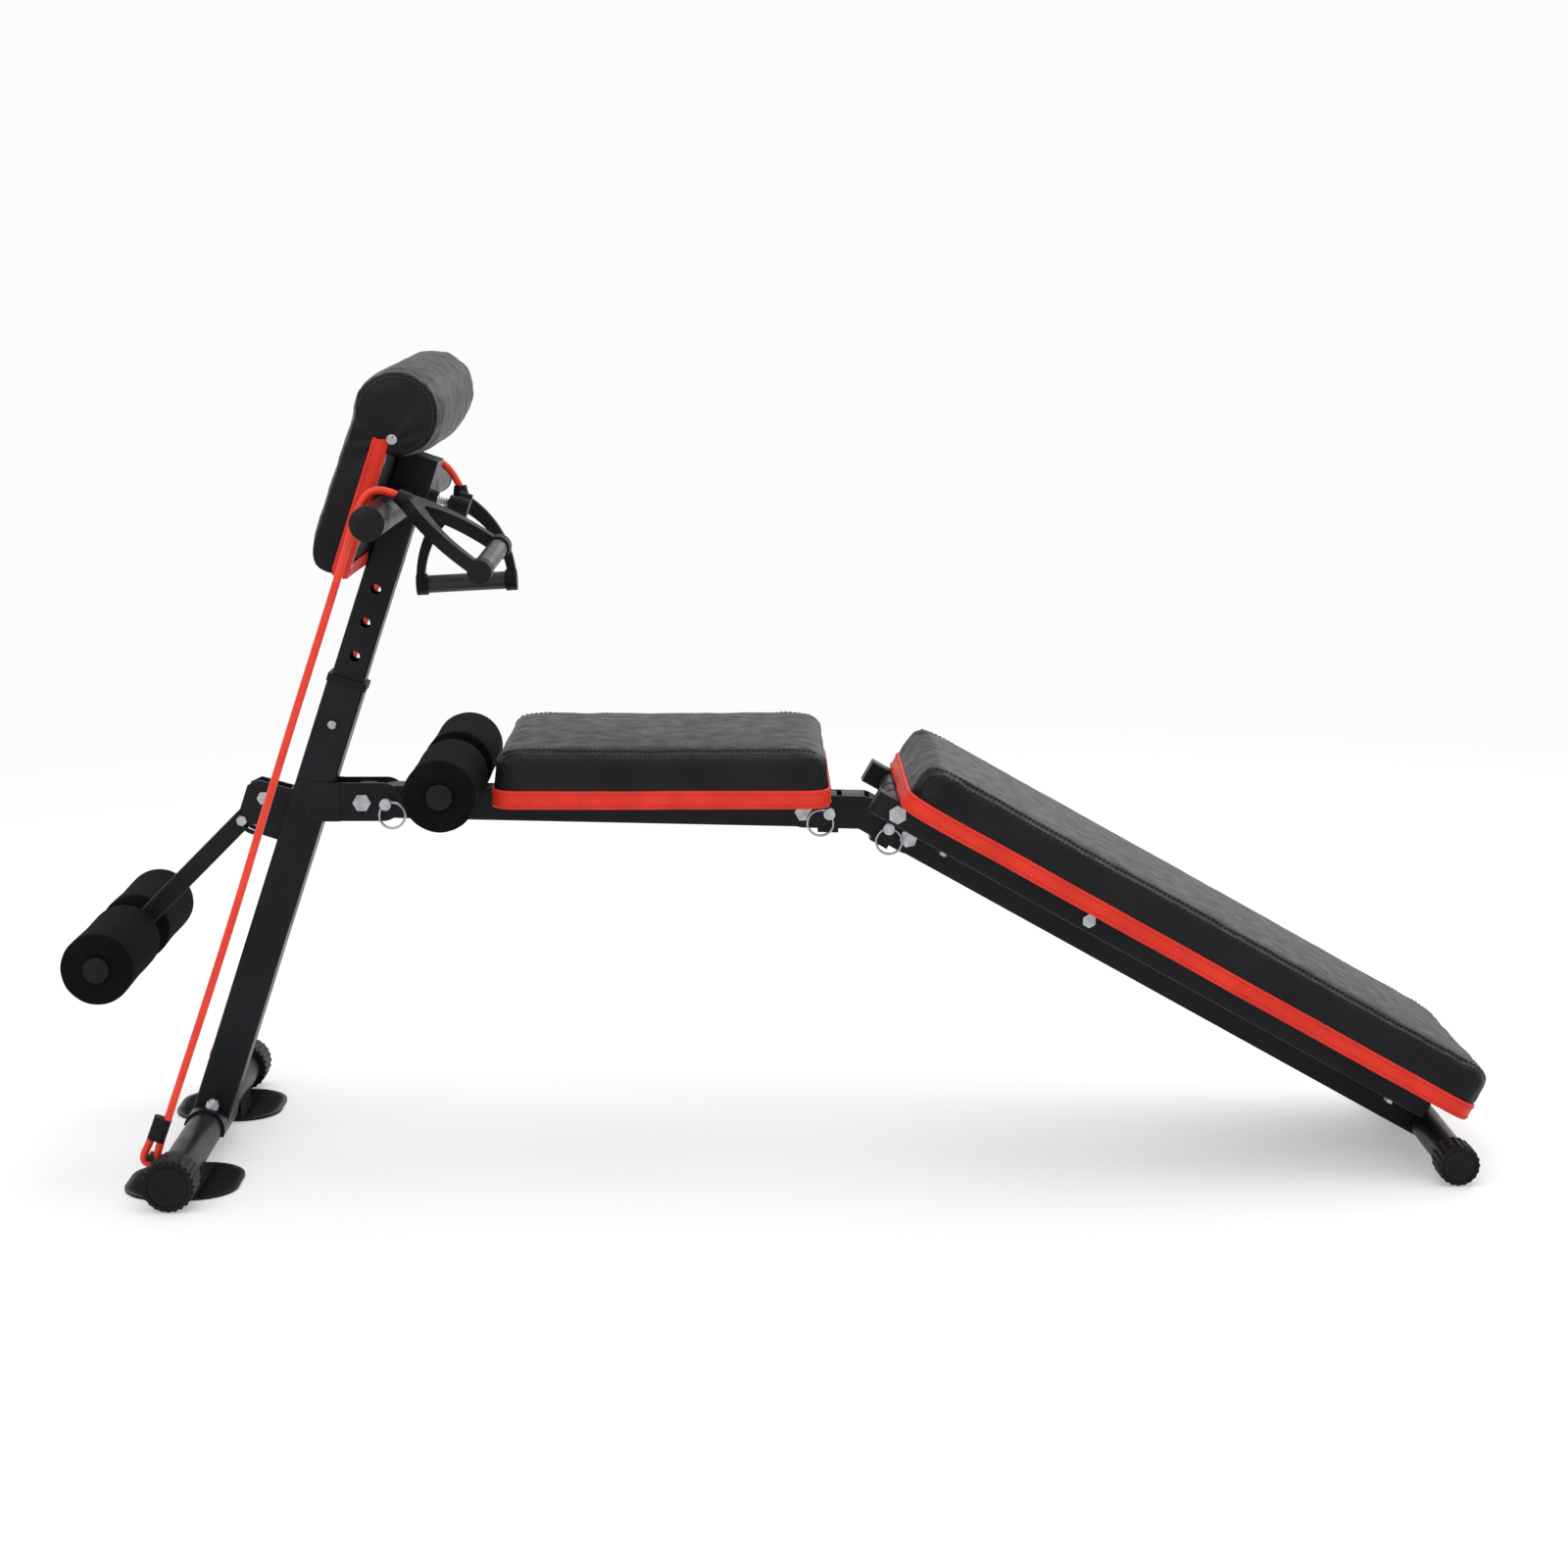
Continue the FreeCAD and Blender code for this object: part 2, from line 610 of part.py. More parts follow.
def elbow_bend():
    """Where the beam's line meets the leg's line."""
    c1, s1 = direction(BEAM_ANGLE)
    c2, s2 = direction(LEG_ANGLE)
    dx, dz = REAR_PIVOT[0] - FRONT_PIVOT[0], REAR_PIVOT[1] - FRONT_PIVOT[1]
    ahead = (dx * s2 - dz * c2) / (c1 * s2 - s1 * c2)
    return along(FRONT_PIVOT, BEAM_ANGLE, ahead)


def elbow():
    """Bent channel with two cheeks, a top and bottom web, stop tabs and the backrest's pivot tube."""
    half = BEAM_TUBE[0] / 2
    bend = elbow_bend()
    to_bend = distance(FRONT_PIVOT, bend)
    from_bend = distance(bend, REAR_PIVOT)
    front_limb = prism([(0, -half), (to_bend, -half), (to_bend, half), (0, half)], CLEVIS_IN, CLEVIS_OUT)
    rear_limb = prism([(-from_bend, -half), (0, -half), (0, half), (-from_bend, half)], CLEVIS_IN, CLEVIS_OUT)
    cheek = fuse([
        place(front_limb, FRONT_PIVOT, BEAM_ANGLE),
        place(rear_limb, REAR_PIVOT, LEG_ANGLE),
        rod(*bend, half, CLEVIS_IN, CLEVIS_OUT),
        rod(*FRONT_PIVOT, half, CLEVIS_IN, CLEVIS_OUT),
        rod(*REAR_PIVOT, half, CLEVIS_IN, CLEVIS_OUT),
    ])
    front_pin = along(FRONT_PIVOT, BEAM_ANGLE, FRONT_PIN_OFFSET)
    rear_pin = along(REAR_PIVOT, LEG_ANGLE, -REAR_PIN_OFFSET)
    for point in (FRONT_PIVOT, REAR_PIVOT):
        cheek = cheek.cut(rod(*point, PIVOT_BOLT_R + RUN_FIT, 0, 30))
    for point in (front_pin, rear_pin):
        cheek = cheek.cut(rod(*point, LOCK_PIN_R + RUN_FIT, 0, 30))
    parts = both_sides(cheek)
    front_start, rear_start = 40.5, 37.0
    for z in (half - PLATE, -half):
        web = block(front_start, to_bend + 1.5, -CLEVIS_IN, CLEVIS_IN, z, z + PLATE)
        parts.append(place(web, FRONT_PIVOT, BEAM_ANGLE))
        web = block(-from_bend - 1.5, -rear_start, -CLEVIS_IN, CLEVIS_IN, z, z + PLATE)
        parts.append(place(web, REAR_PIVOT, LEG_ANGLE))
    tab_top, tab_low = -half - 0.3, -half - 4.5
    tab = block(15.4, 37.2, -CLEVIS_OUT, CLEVIS_OUT, tab_low, tab_top)
    lugs = [block(15.4, 37.2, y, y + PLATE, tab_low, -half + 1) for y in (-CLEVIS_OUT, CLEVIS_IN)]
    parts += [place(s, FRONT_PIVOT, BEAM_ANGLE) for s in [tab] + lugs]
    tab = block(-35, -14, -CLEVIS_OUT, CLEVIS_OUT, tab_low, tab_top)
    lugs = [block(-35, -14, y, y + PLATE, tab_low, -half + 1) for y in (-CLEVIS_OUT, CLEVIS_IN)]
    parts += [place(s, REAR_PIVOT, LEG_ANGLE) for s in [tab] + lugs]
    pivot_half = RAIL_Y - RAIL_TUBE[0] / 2 - 0.4
    parts.append(rod(*BACK_PIVOT, AXLE_R, -pivot_half, pivot_half))
    shape = fuse(parts)
    return shape.cut(rod(*BACK_PIVOT, PIVOT_BOLT_R + RUN_FIT, -pivot_half - 1, pivot_half + 1))


def elbow_bolts():
    bolt = cross_bolt(PIVOT_BOLT_R, 17, -CLEVIS_OUT, CLEVIS_OUT)
    return group([place(bolt, FRONT_PIVOT), place(bolt, REAR_PIVOT, 12)])


# ---------------------------------------------------------------- rear leg

def rear_leg():
    """Square leg with a round top end, a curved lock-pin slot and three rests for the strut."""
    leg = square_tube(-LEG_END_R, LEG_LENGTH - 4, BEAM_TUBE)
    rounded = fuse([block(0, LEG_LENGTH, -30, 30, -30, 30), rod(0, 0, LEG_END_R, -30, 30)])
    leg = leg.common(rounded)
    leg = leg.cut(arc_slot(REAR_PIN_OFFSET, 180, 180 + LEG_FOLD_MAX + 2, LOCK_PIN_R + SOFT_GAP, 30))
    leg = leg.cut(rod(0, 0, PIVOT_BOLT_R + RUN_FIT, -30, 30))
    leg = leg.cut(rod(LEG_LENGTH, 0, REAR_TUBE_R, -30, 30))
    for x in (256.0, 330.0, 403.0):
        leg = leg.cut(block(x - 7, x + 7, -30, 30, BEAM_TUBE[0] / 2 - 5, 30))
    return place(leg, REAR_PIVOT, LEG_ANGLE)


def rear_cross_tube():
    return place(foot_tube(REAR_TUBE_R, REAR_HALF, 3), REAR_FOOT)


def rear_end_caps():
    cap = cap_solid(REAR_HALF, 22.0, REAR_TUBE_R, 36.0, 20)
    return group([place(c, REAR_FOOT) for c in both_sides(cap)])


# ---------------------------------------------------------------- backrest and strut

RAIL_X = (-24.0, 640.0)
BACK_X = (-3.0, 676.0)
BACK_BOARD_Z = 12.5
BACK_TOP_Z = 64.0
PAD_BOLT_X = (63.0, 606.0)


def backrest_rails():
    tube = square_tube(*RAIL_X, RAIL_TUBE)
    tube = tube.cut(rod(0, 0, PIVOT_BOLT_R + RUN_FIT, -30, 30))
    tube = tube.cut(rod(STRUT_PIVOT, 0, 4 + RUN_FIT, -30, 30))
    for x in PAD_BOLT_X:
        tube = tube.cut(Part.makeCylinder(3 + RUN_FIT, 60, V(x, 0, -30), V(0, 0, 1)))
    rails = []
    for side in (-1, 1):
        rail = tube.copy()
        rail.translate(V(0, side * RAIL_Y, 0))
        rails.append(place(rail, BACK_PIVOT, LEG_ANGLE))
    return group(rails)


def rail_caps():
    """Square plugs in the four ends of the rails."""
    size = RAIL_TUBE[0]
    hollow = size - 2 * RAIL_TUBE[1]
    caps = []
    for side in (-1, 1):
        for x, out in ((RAIL_X[0], -1), (RAIL_X[1], 1)):
            head = bar(min(x, x + 3 * out), max(x, x + 3 * out), size, size, 3.0)
            plug = bar(min(x, x - 12 * out), max(x, x - 12 * out), hollow - 0.1, hollow - 0.1, 2.0)
            cap = head.fuse(plug).removeSplitter()
            cap.translate(V(0, side * RAIL_Y, 0))
            caps.append(place(cap, BACK_PIVOT, LEG_ANGLE))
    return group(caps)


def backrest_board():
    board = block(BACK_X[0] + 4, BACK_X[1] - 4, -PAD_HALF + 4, PAD_HALF - 4, BACK_BOARD_Z, BACK_BOARD_Z + 12)
    upright = [e for e in board.Edges if abs(e.tangentAt(e.FirstParameter).z) > 0.9]
    board = board.makeFillet(22.0, upright)
    for x in PAD_BOLT_X:
        for y in (-RAIL_Y, RAIL_Y):
            board = board.cut(Part.makeCylinder(3 + RUN_FIT, 10, V(x, y, BACK_BOARD_Z - 1), V(0, 0, 1)))
    return place(board, BACK_PIVOT, LEG_ANGLE)


def backrest_pad():
    pad = rounded_slab(*BACK_X, -PAD_HALF, PAD_HALF, BACK_BOARD_Z + 12.3, BACK_TOP_Z, 28.0, 12.0)
    return place(pad, BACK_PIVOT, LEG_ANGLE)


def backrest_bolts():
    """Long pivot bolt, two strut bolts and the four bolts that hold the board."""
    rail_out = RAIL_Y + RAIL_TUBE[0] / 2
    bolts = [cross_bolt(PIVOT_BOLT_R, 17, -rail_out, rail_out)]
    for side in (-1, 1):
        head = cross_bolt(4.0, 13, -rail_out, -rail_out + 33)
        head = head if side < 0 else mirrored(head)
        head.translate(V(STRUT_PIVOT, 0, 0))
        bolts.append(head)
    for x in PAD_BOLT_X:
        for y in (-RAIL_Y, RAIL_Y):
            low = -RAIL_TUBE[0] / 2
            shank = Part.makeCylinder(3.0, 33, V(x, y, low), V(0, 0, 1))
            nut = hexagon(10, 0, 4)
            nut.rotate(ORIGIN, V(1, 0, 0), 90)
            nut.translate(V(x, y, low - 4))
            bolts.append(fuse([shank, nut]))
    return group([place(b, BACK_PIVOT, LEG_ANGLE) for b in bolts])


def strut():
    """U-shaped prop: two flat arms on the rails and a cross bar that sits on the leg."""
    outer = RAIL_Y - RAIL_TUBE[0] / 2 - 0.5
    inner = outer - 4.0
    tilt = math.degrees(math.asin(STRUT_DROP / STRUT_LENGTH))
    arm = fuse([
        block(0, STRUT_LENGTH, inner, outer, -9, 9),
        rod(0, 0, 9, inner, outer),
        rod(STRUT_LENGTH, 0, 9, inner, outer),
    ])
    arm = arm.cut(rod(0, 0, 4 + RUN_FIT, inner - 1, outer + 1))
    foot = rod(STRUT_LENGTH, 0, STRUT_BAR_R, -inner - 1, inner + 1)
    shape = fuse([arm, mirrored(arm), foot])
    shape = place(shape, (0, 0), -tilt)
    shape.translate(V(STRUT_PIVOT, 0, 0))
    return place(shape, BACK_PIVOT, LEG_ANGLE)


# ---------------------------------------------------------------- lock pins and rings

PIN_HEAD_Y = (-35.6, -21.2)
RING_R = 13.7
RING_WIRE = 1.3
RING_Y = -31.0


def lock_pin(point, ring_angle):
    head = rod(0, 0, 6.4, *PIN_HEAD_Y)
    head = head.makeFillet(0.8, [e for e in head.Edges if e.BoundBox.YMax < PIN_HEAD_Y[0] + 0.1])
    pin = fuse([head, rod(0, 0, LOCK_PIN_R, PIN_HEAD_Y[1] - 1, 27)])
    c, s = direction(ring_angle + 90)
    hole = Part.makeCylinder(3.1, 30, V(-15 * c, RING_Y, -15 * s), V(c, 0, s))
    return place(pin.cut(hole), point)


def pin_ring(point, ring_angle):
    c, s = direction(ring_angle)
    loop = Part.makeTorus(RING_R, RING_WIRE, V(RING_R * c, RING_Y, RING_R * s), Y_AXIS)
    return place(loop, point)


# Where each lock pin is, and the direction its ring hangs in.
LOCK_PINS = {
    "seat": (along(SEAT_PIVOT, BEAM_ANGLE, SEAT_PIN_OFFSET), -60.0),
    "front_elbow": (along(FRONT_PIVOT, BEAM_ANGLE, FRONT_PIN_OFFSET), -134.0),
    "rear_elbow": (along(REAR_PIVOT, LEG_ANGLE, -REAR_PIN_OFFSET), -90.0),
}


# ---------------------------------------------------------------- bands and pull handles

SLEEVE_A = (18.0, 43.0)


def eye_point():
    return along(BASE, EYE_DIRECTION, EYE_DISTANCE)


def band_route(over_bar):
    """Points of a band in the side view: its tail in the sleeve, round the eye, up and over the bar."""
    eye = eye_point()
    loop = [(38.0, 4.3), (17.0, 4.6), (-7.4, 7.7), (-7.4, -7.7), (17.0, -4.6)]
    route = [along(eye, BAND_LEAN, a, b) for a, b in loop]
    route += [(-560.5, 270.0), (-500.0, 455.0), (-442.5, 622.0)]
    route += [(BAR[0] + x, BAR[1] + z) for x, z in over_bar]
    return route


NEAR_OVER_BAR = [(-32.0, -30.0), (-18.0, 15.0), (0.0, 29.0), (20.0, 19.0)]
FAR_OVER_BAR = [(-32.0, -30.0), (-18.0, 15.0), (0.0, 29.0), (25.0, 20.0), (36.0, -5.0)]


def tube_along(name, points, radius):
    """Tube of straight runs joined by tangent arcs, with the arc radii printed."""
    edges = []
    start = points[0]
    length = 0.0
    radii = []
    for before, corner, after in zip(points, points[1:], points[2:]):
        into = (corner - before).normalize()
        out = (after - corner).normalize()
        half_turn = into.getAngle(out) / 2
        short = min(corner.distanceToPoint(before), corner.distanceToPoint(after))
        cut = 0.45 * short
        bend_r = cut / math.tan(half_turn)
        a, b = corner - into * cut, corner + out * cut
        middle_dir = (out - into).normalize()
        gap = bend_r / math.cos(half_turn) - bend_r
        edges.append(Part.LineSegment(start, a).toShape())
        edges.append(Part.Arc(a, corner + middle_dir * gap, b).toShape())
        length += start.distanceToPoint(a) + bend_r * 2 * half_turn
        radii.append(round(bend_r, 1))
        start = b
    edges.append(Part.LineSegment(start, points[-1]).toShape())
    length += start.distanceToPoint(points[-1])
    path = Part.Wire(edges)
    first = (points[1] - points[0]).normalize()
    section = Part.Wire(Part.makeCircle(radius, points[0], first))
    tube = path.makePipeShell([section], True, False)
    expected = math.pi * radius ** 2 * length
    print(name, "length", round(length), "volume ratio", round(tube.Volume / expected, 4), "radii", radii)
    return tube


def band(name, side, over_bar):
    points = []
    for x, z in band_route(over_bar):
        risen = min(1.0, max(0.0, (z - 100.0) / (BAR[1] - 130.0)))
        points.append(V(x, side * (BAND_FOOT_Y + risen * (BAND_TOP_Y - BAND_FOOT_Y)), z))
    return tube_along(name, points, BAND_R)


def band_sleeves():
    """Crimped sleeves that hold each band's tail against the band."""
    sleeve = bar(*SLEEVE_A, 11.5, 18.0, 5.0)
    shapes = []
    for side in (-1, 1):
        copy = place(sleeve, eye_point(), BAND_LEAN)
        copy.translate(V(0, side * BAND_FOOT_Y, 0))
        shapes.append(copy)
    bores = [band("sleeve bore", side, NEAR_OVER_BAR) for side in (-1, 1)]
    return group([s.cut(b) for s, b in zip(shapes, bores)])


HANDLE_DROP = 106.0
GRIP_R = 10.0
GRIP_HALF = 43.0


def handle_frame_at(hub, down, grip):
    """Placement that takes local -Z to the handle's drop and local X to its grip."""
    z = down * -1.0
    x = (grip - z * grip.dot(z)).normalize()
    y = z.cross(x)
    return FreeCAD.Placement(FreeCAD.Matrix(
        x.x, y.x, z.x, hub.x, x.y, y.y, z.y, hub.y, x.z, y.z, z.z, hub.z, 0, 0, 0, 1))


def handle_frame(where):
    """D-shaped handle: a hub that grips the band, two bowed arms and two eyes for the grip."""
    half = 6.5
    hub = fuse([
        Part.makeCone(7.0, 9.5, 14, V(0, 0, 3), V(0, 0, -1)),
        block(-11, 11, -half, half, -26, -9),
    ])
    arms = []
    for side in (-1, 1):
        def p(x, z):
            return V(side * x, -half, z)
        outer = Part.Arc(p(8, -9), p(42, -48), p(GRIP_HALF + 13, -HANDLE_DROP)).toShape()
        foot = Part.makeLine(p(GRIP_HALF + 13, -HANDLE_DROP), p(GRIP_HALF + 4, -HANDLE_DROP))
        inner = Part.Arc(p(GRIP_HALF + 4, -HANDLE_DROP), p(32, -55), p(1, -25)).toShape()
        root = Part.makeLine(p(1, -25), p(8, -9))
        face = Part.Face(Part.Wire([outer, foot, inner, root]))
        arms.append(face.extrude(V(0, 2 * half, 0)))
        start = GRIP_HALF + 1.0
        eye = Part.makeCylinder(12.0, 12.5, V(side * start, 0, -HANDLE_DROP), V(side, 0, 0))
        arms.append(eye)
    spindle = Part.makeCylinder(5.0, 2 * GRIP_HALF + 10, V(-GRIP_HALF - 5, 0, -HANDLE_DROP), V(1, 0, 0))
    shape = fuse([hub] + arms + [spindle])
    shape.Placement = where
    return shape


def handle_grip(where):
    grip = Part.makeCylinder(GRIP_R, 2 * GRIP_HALF, V(-GRIP_HALF, 0, -HANDLE_DROP), V(1, 0, 0))
    bore = Part.makeCylinder(5.0 + 0.08, 2 * GRIP_HALF + 2, V(-GRIP_HALF - 1, 0, -HANDLE_DROP), V(1, 0, 0))
    shape = grip.cut(bore)
    shape.Placement = where
    return shape


def handle_places():
    """Near handle leans away from the post; far handle hangs straight down."""
    near_x, near_z = NEAR_OVER_BAR[-1]
    far_x, far_z = FAR_OVER_BAR[-1]
    near_hub = V(BAR[0] + near_x, -BAND_TOP_Y, BAR[1] + near_z)
    far_hub = V(BAR[0] + far_x, BAND_TOP_Y, BAR[1] + far_z)
    c, s = direction(-35.0)
    near = handle_frame_at(near_hub, V(c, 0, s), V(-0.05, 0.97, 0.24))
    c, s = direction(-87.0)
    far = handle_frame_at(far_hub, V(c, 0, s), V(1, 0, 0.09))
    return near, far


def main():
    os.makedirs("parts", exist_ok=True)
    near_place, far_place = handle_places()
    near_band = band("near_band", -1, NEAR_OVER_BAR)
    far_band = band("far_band", 1, FAR_OVER_BAR)
    nodes = {
        "front_base_tube": front_base_tube(),
        "base_end_caps": base_end_caps(),
        "foot_plates": foot_plates(),
        "post_saddle": post_saddle(),
        "outer_post": outer_post(),
        "post_bushing": post_bushing(),
        "seat_clevis": seat_clevis(),
        "arm_clevis": arm_clevis(),
        "band_eyes": band_eyes(),
        "post_bolts": post_bolts(),
        "height_pin": height_pin(),
        "inner_post": inner_post(),
        "head_block": head_block(),
        "handlebar": handlebar(),
        "handlebar_caps": handlebar_caps(),
        "upper_pad_bracket": upper_pad_bracket(),
        "upper_pad_board": upper_pad_board(),
        "upper_pad": upper_pad(),
        "upper_pad_screws": upper_pad_screws(),
        "clamp_screw": clamp_screw(),
        "star_knob": star_knob(),
        "shin_arm": shin_arm(),
        "arm_lock_screw": arm_lock_screw(),
        "shin_roller_plugs": roller_plugs(SHIN_ROLLER),
        "near_shin_foam": foam_sleeve(SHIN_ROLLER, -1),
        "far_shin_foam": foam_sleeve(SHIN_ROLLER, 1),
        "seat_beam": seat_beam(),
        "seat_roller_axle": seat_roller_axle(),
        "seat_roller_plugs": roller_plugs(SEAT_ROLLER),
        "near_seat_foam": foam_sleeve(SEAT_ROLLER, -1),
        "far_seat_foam": foam_sleeve(SEAT_ROLLER, 1),
        "seat_pad_brackets": seat_pad_brackets(),
        "seat_board": seat_board(),
        "seat_pad": seat_pad(),
        "elbow": elbow(),
        "elbow_bolts": elbow_bolts(),
        "rear_leg": rear_leg(),
        "rear_cross_tube": rear_cross_tube(),
        "rear_end_caps": rear_end_caps(),
        "backrest_rails": backrest_rails(),
        "rail_caps": rail_caps(),
        "backrest_board": backrest_board(),
        "backrest_pad": backrest_pad(),
        "backrest_bolts": backrest_bolts(),
        "backrest_strut": strut(),
        "band_sleeves": band_sleeves(),
        "near_band": near_band,
        "far_band": far_band,
        "near_handle_frame": handle_frame(near_place).cut(near_band),
        "near_handle_grip": handle_grip(near_place),
        "far_handle_frame": handle_frame(far_place).cut(far_band),
        "far_handle_grip": handle_grip(far_place),
    }
    for name, (point, ring_angle) in LOCK_PINS.items():
        nodes[name + "_lock_pin"] = lock_pin(point, ring_angle)
        nodes[name + "_pin_ring"] = pin_ring(point, ring_angle)
    box = FreeCAD.BoundBox()
    for name, shape in nodes.items():
        if not shape.isValid():
            print("invalid shape:", name)
        if not name.endswith("band"):
            box.add(shape.BoundBox)
        shape.exportStep("parts/" + name + ".step")
    print(len(nodes), "nodes; box x", round(box.XMin, 1), round(box.XMax, 1), "y", round(box.YMin, 1),
          round(box.YMax, 1), "z", round(box.ZMin, 1), round(box.ZMax, 1))


main()
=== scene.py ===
import json
import math

import bpy
import numpy as np
from mathutils import Matrix, Vector, noise
from mathutils.bvhtree import BVHTree


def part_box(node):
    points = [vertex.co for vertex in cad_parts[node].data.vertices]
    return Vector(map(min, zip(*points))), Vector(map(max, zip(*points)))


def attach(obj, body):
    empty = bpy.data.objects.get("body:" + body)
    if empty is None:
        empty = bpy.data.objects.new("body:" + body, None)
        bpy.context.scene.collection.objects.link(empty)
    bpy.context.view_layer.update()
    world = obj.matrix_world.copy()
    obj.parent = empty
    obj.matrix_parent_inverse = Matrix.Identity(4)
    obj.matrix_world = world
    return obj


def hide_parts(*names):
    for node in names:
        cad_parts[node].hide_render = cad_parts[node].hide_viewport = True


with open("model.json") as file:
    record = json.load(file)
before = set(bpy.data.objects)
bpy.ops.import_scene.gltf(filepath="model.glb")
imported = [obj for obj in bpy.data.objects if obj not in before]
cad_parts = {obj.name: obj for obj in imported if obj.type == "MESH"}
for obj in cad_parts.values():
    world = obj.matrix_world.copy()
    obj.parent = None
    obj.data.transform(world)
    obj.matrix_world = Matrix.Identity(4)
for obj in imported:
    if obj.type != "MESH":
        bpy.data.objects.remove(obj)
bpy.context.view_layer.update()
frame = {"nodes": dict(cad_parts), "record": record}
nodes = frame["nodes"]
scene = bpy.context.scene

# ---------------------------------------------------------------- places in the side view (metres)

BASE = Vector((-0.620, 0.0, 0.027))
REAR_FOOT = Vector((0.696, 0.0, 0.022))
SEAT_PIVOT = Vector((-0.4455, 0.0, 0.3785))
REAR_PIVOT = Vector((0.1327, 0.0, 0.3389))
BACK_PIVOT = Vector((0.1167, 0.0, 0.3800))
ARM_PIVOT = Vector((-0.5501, 0.0, 0.3822))
SEAT_ROLLER = Vector((-0.3486, 0.0, 0.4100))
POST_ANGLE = math.radians(71.5)
BAND_FOOT_Y = 0.200
BAND_TOP_Y = 0.228
BAND_R = 0.004
SIDES = ((-1, "near"), (1, "far"))


def direction(angle):
    return Vector((math.cos(angle), 0.0, math.sin(angle)))


def plane(origin, angle):
    """Matrix whose local X points in a side-view direction, local Y across and local Z up from it."""
    x = direction(angle)
    z = direction(angle + math.pi / 2)
    y = z.cross(x)
    m = Matrix((x, y, z)).transposed().to_4x4()
    m.translation = origin
    return m


def angle_to(a, b):
    return math.atan2(b.z - a.z, b.x - a.x)


LEG_ANGLE = angle_to(REAR_PIVOT, REAR_FOOT)
POST = plane(BASE, POST_ANGLE)
BACK = plane(BACK_PIVOT, LEG_ANGLE)
LEG = plane(REAR_PIVOT, LEG_ANGLE)
LEVEL = Matrix.Identity(4)
BAR = POST @ Vector((0.707, 0.0, 0.0))
SHIN_ROLLER = ARM_PIVOT + 0.212 * direction(math.radians(-135))
LEG_LENGTH = (REAR_FOOT - REAR_PIVOT).length

# ---------------------------------------------------------------- padded pieces (metres, in their planes)

PAD_HALF = 0.150
SEAT_X = (-0.298, 0.046)
SEAT_PAD_Z = (0.4063, 0.448)
SEAT_TRIM_Z = (0.3935, 0.4115)
SEAT_CORNER = 0.026
SEAT_SEAM_IN = 0.016
BACK_X = (-0.003, 0.676)
BACK_PAD_Z = (0.0248, 0.064)
BACK_TRIM_Z = (0.0120, 0.0295)
BACK_CORNER = 0.028
BACK_SEAM_IN = 0.014
ELBOW_GAP = 0.027
ROLL_S, ROLL_BACK, ROLL_R, ROLL_HALF = 0.808, 0.0185, 0.046, 0.165
LEG_PAD_S = (0.629, 0.779)
LEG_TRIM_Z = (0.0190, 0.0345)
LEG_SCREW = (0.776, 0.016)
STAPLE_INSET = 0.012
STAPLE_DROP = 0.0011
THREAD_GAP = 0.0028

# ---------------------------------------------------------------- materials


class Look:
    """A Principled material that is built up from procedural layers."""

    def __init__(self, name, color, roughness, metallic=0.0, coat=0.0, sheen=0.0):
        self.material = bpy.data.materials.new(name)
        self.material.use_nodes = True
        self.tree = self.material.node_tree
        self.shader = self.tree.nodes["Principled BSDF"]
        self.coords = self.node("ShaderNodeTexCoord").outputs["Object"]
        self.set("Base Color", (*color, 1.0))
        self.set("Roughness", roughness)
        self.set("Metallic", metallic)
        self.set("Coat Weight", coat)
        self.set("Sheen Weight", sheen)
        self.bump = None

    def set(self, socket, value):
        self.shader.inputs[socket].default_value = value

    def node(self, kind, **settings):
        made = self.tree.nodes.new(kind)
        for key, value in settings.items():
            if key in made.inputs:
                made.inputs[key].default_value = value
            else:
                setattr(made, key, value)
        return made

    def link(self, out, socket):
        self.tree.links.new(out, socket)

    def noise(self, scale, detail=4.0, rough=0.55, stretch=(1, 1, 1)):
        mapping = self.node("ShaderNodeMapping")
        mapping.inputs["Scale"].default_value = stretch
        self.link(self.coords, mapping.inputs["Vector"])
        made = self.node("ShaderNodeTexNoise", Scale=scale, Detail=detail, Roughness=rough)
        self.link(mapping.outputs["Vector"], made.inputs["Vector"])
        return made.outputs["Fac"]

    def cells(self, scale, feature="F1"):
        made = self.node("ShaderNodeTexVoronoi", Scale=scale)
        made.feature = feature
        self.link(self.coords, made.inputs["Vector"])
        return made.outputs["Distance"]

    def ramp(self, fac, low, high, at=(0.3, 0.7)):
        made = self.node("ShaderNodeMapRange")
        for key, value in zip(("From Min", "From Max", "To Min", "To Max"), (*at, low, high)):
            made.inputs[key].default_value = value
        self.link(fac, made.inputs["Value"])
        return made.outputs["Result"]

    def mix_color(self, fac, a, b, at=(0.35, 0.65)):
        made = self.node("ShaderNodeMix", data_type="RGBA")
        made.inputs[6].default_value = (*a, 1.0)
        made.inputs[7].default_value = (*b, 1.0)
        self.link(self.ramp(fac, 0.0, 1.0, at), made.inputs[0])
        self.link(made.outputs[2], self.shader.inputs["Base Color"])

    def vary(self, socket, fac, low, high, at=(0.3, 0.7)):
        self.link(self.ramp(fac, low, high, at), self.shader.inputs[socket])

    def raise_by(self, fac, distance, strength=1.0):
        made = self.node("ShaderNodeBump", Strength=strength, Distance=distance)
        self.link(fac, made.inputs["Height"])
        if self.bump:
            self.link(self.bump.outputs["Normal"], made.inputs["Normal"])
        self.bump = made
        self.link(made.outputs["Normal"], self.shader.inputs["Normal"])
        return self


